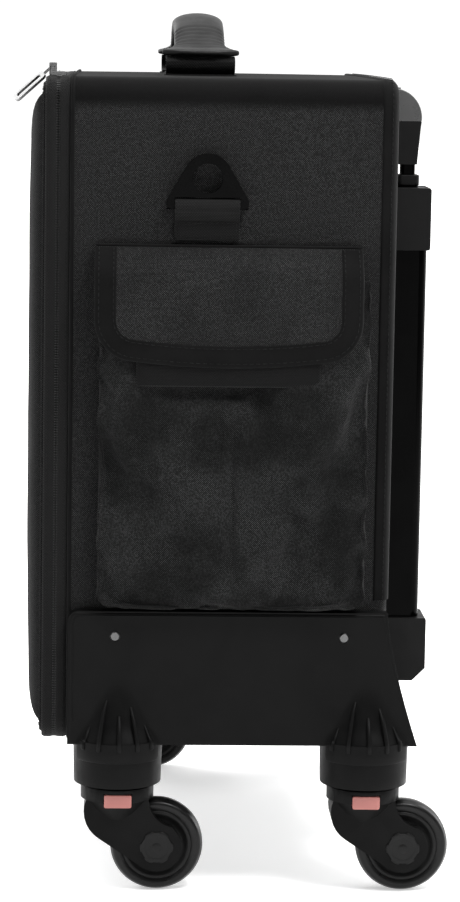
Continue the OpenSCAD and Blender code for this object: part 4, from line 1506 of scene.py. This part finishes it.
def make_guard_skin(label, side, corner_pair, materials):
    """The lower face of the side guard, moulded in one sweep over both caster housings."""
    low, high = lo("right_guard"), hi("right_guard")
    axes = [swivel_axis(corner) for corner in corner_pair]
    rows = []
    round_corner = 6 * MM
    for r in range(61):
        z = low[2] + 0.4 * MM + (high[2] - low[2] - 1.3 * MM) * (r / 60) ** 1.2
        share = (high[2] - z) / (high[2] - low[2])
        back = 91.6 * MM + 19.5 * MM * share ** 1.4 - 1.3 * MM
        above = max(z - (high[2] - round_corner), 0)
        front = low[1] + 1.1 * MM + round_corner - math.sqrt(round_corner ** 2 - above ** 2)
        across = [front + (back - front) * c / 150 for c in range(151)]
        rows.append([Vector((side * skin_out(y, z, low[2], axes), y, z)) for y in across])
    skin = loft("guard_skin_" + label, rows, materials["guard"], closed=False)
    thicken(skin, 0.9 * MM, -1.0 * side)
    piece(skin, "root", "guard_plastic")


def swivel_axis(corner):
    """(x, y) of a caster's swivel, taken from the middle of its fork's round top."""
    wheel = axle_place(corner)
    low = lo("fork_" + corner)
    return (wheel[0], low[1] + 22 * MM)


def make_guard_edge(label, side, materials):
    """A fine raised line just inside the guard's upper edge."""
    low, high = lo("right_guard"), hi("right_guard")
    x = (HALF_W + 8 * MM + 0.05 * MM) * side
    top = high[2] - 2.6 * MM
    front = low[1]
    line_points = [
        (front + 3 * MM, low[2] + 14 * MM), (front + 3 * MM, top - 4 * MM),
        (front + 3.8 * MM, top - 1.4 * MM), (front + 7 * MM, top), (88 * MM, top),
    ]
    path = [Vector((x, y, z)) for y, z in line_points]
    line = tube("guard_line_" + label, resample(path, 4 * MM), 0.4 * MM, materials["guard"], 6, flat=0.7)
    piece(line, "root", "guard_plastic")


def make_casters(materials):
    for corner, side in CORNERS.items():
        make_wheel(corner, materials)
        make_hub_caps(corner, materials)
        make_button(corner, side, materials)
        make_button_frame(corner, side, materials)
    make_guard_detail("right", 1, ("fr", "rr"), materials)
    make_guard_detail("left", -1, ("fl", "rl"), materials)
    for label, side in SIDES.items():
        make_guard_edge(label, side, materials)


# ---- finishes on the CAD's own parts ----

NODE_FINISH = {
    "guard": (["caster_sockets", "right_guard", "left_guard"] + ["fork_" + c for c in CORNERS], 1.2),
    "hub": (["axle_" + c for c in CORNERS], 0.3),
    "trolley": (["upper_bracket", "lower_bracket", "trolley_grip", "outer_collars", "middle_collars"], 0.8),
    "cap": (["grip_cap", "grip_button"], 0.7),
    "ring": (["right_ring", "left_ring"], 0.9),
    "tube": (["outer_tubes", "middle_tubes", "inner_tubes"], 0.3),
    "steel": (
        [
            "guard_rivets", "bracket_screws", "release_rods", "button_spring", "lock_pins",
            "caster_stems", "caster_bearings",
        ],
        0.3,
    ),
    "zip_metal": (["zip_slider", "zip_pull"], 0.3),
}


def finish_nodes(materials):
    """Rounds the edges of the CAD parts that show as they are, and gives them their materials."""
    for finish, (nodes, width) in NODE_FINISH.items():
        for name in nodes:
            node = frame["nodes"][name]
            for index in range(len(node.material_slots)):
                node.material_slots[index].material = materials[finish]
            bevelled(node, width * MM, 2)


def main():
    make_camera()
    make_world()
    make_stage()
    scene.view_settings.view_transform = "Standard"
    overhead_light(1.9, 60)
    area_light("key", (0.8, 0.55, 1.6), (0.16, 0.0, 0.3), (0.4, 0.4), 17)
    area_light("strip_back", (-0.7, 1.5, 0.9), (0, 0, 0.3), (0.8, 1.6), 18)
    area_light("fill_left", (-1.2, -1.2, 1.2), (0, 0, 0.3), (0.9, 0.9), 16)
    materials = make_materials()
    finish_nodes(materials)
    make_case_shell(materials)
    make_bands(materials)
    make_piping(materials)
    make_lid_panel(materials)
    for label, side in SIDES.items():
        make_pocket(label, side, materials)
        make_flap(label, side, materials)
        make_hook_strip(label, side, materials)
    make_ring_straps(materials)
    make_handle(materials)
    make_casters(materials)


main()
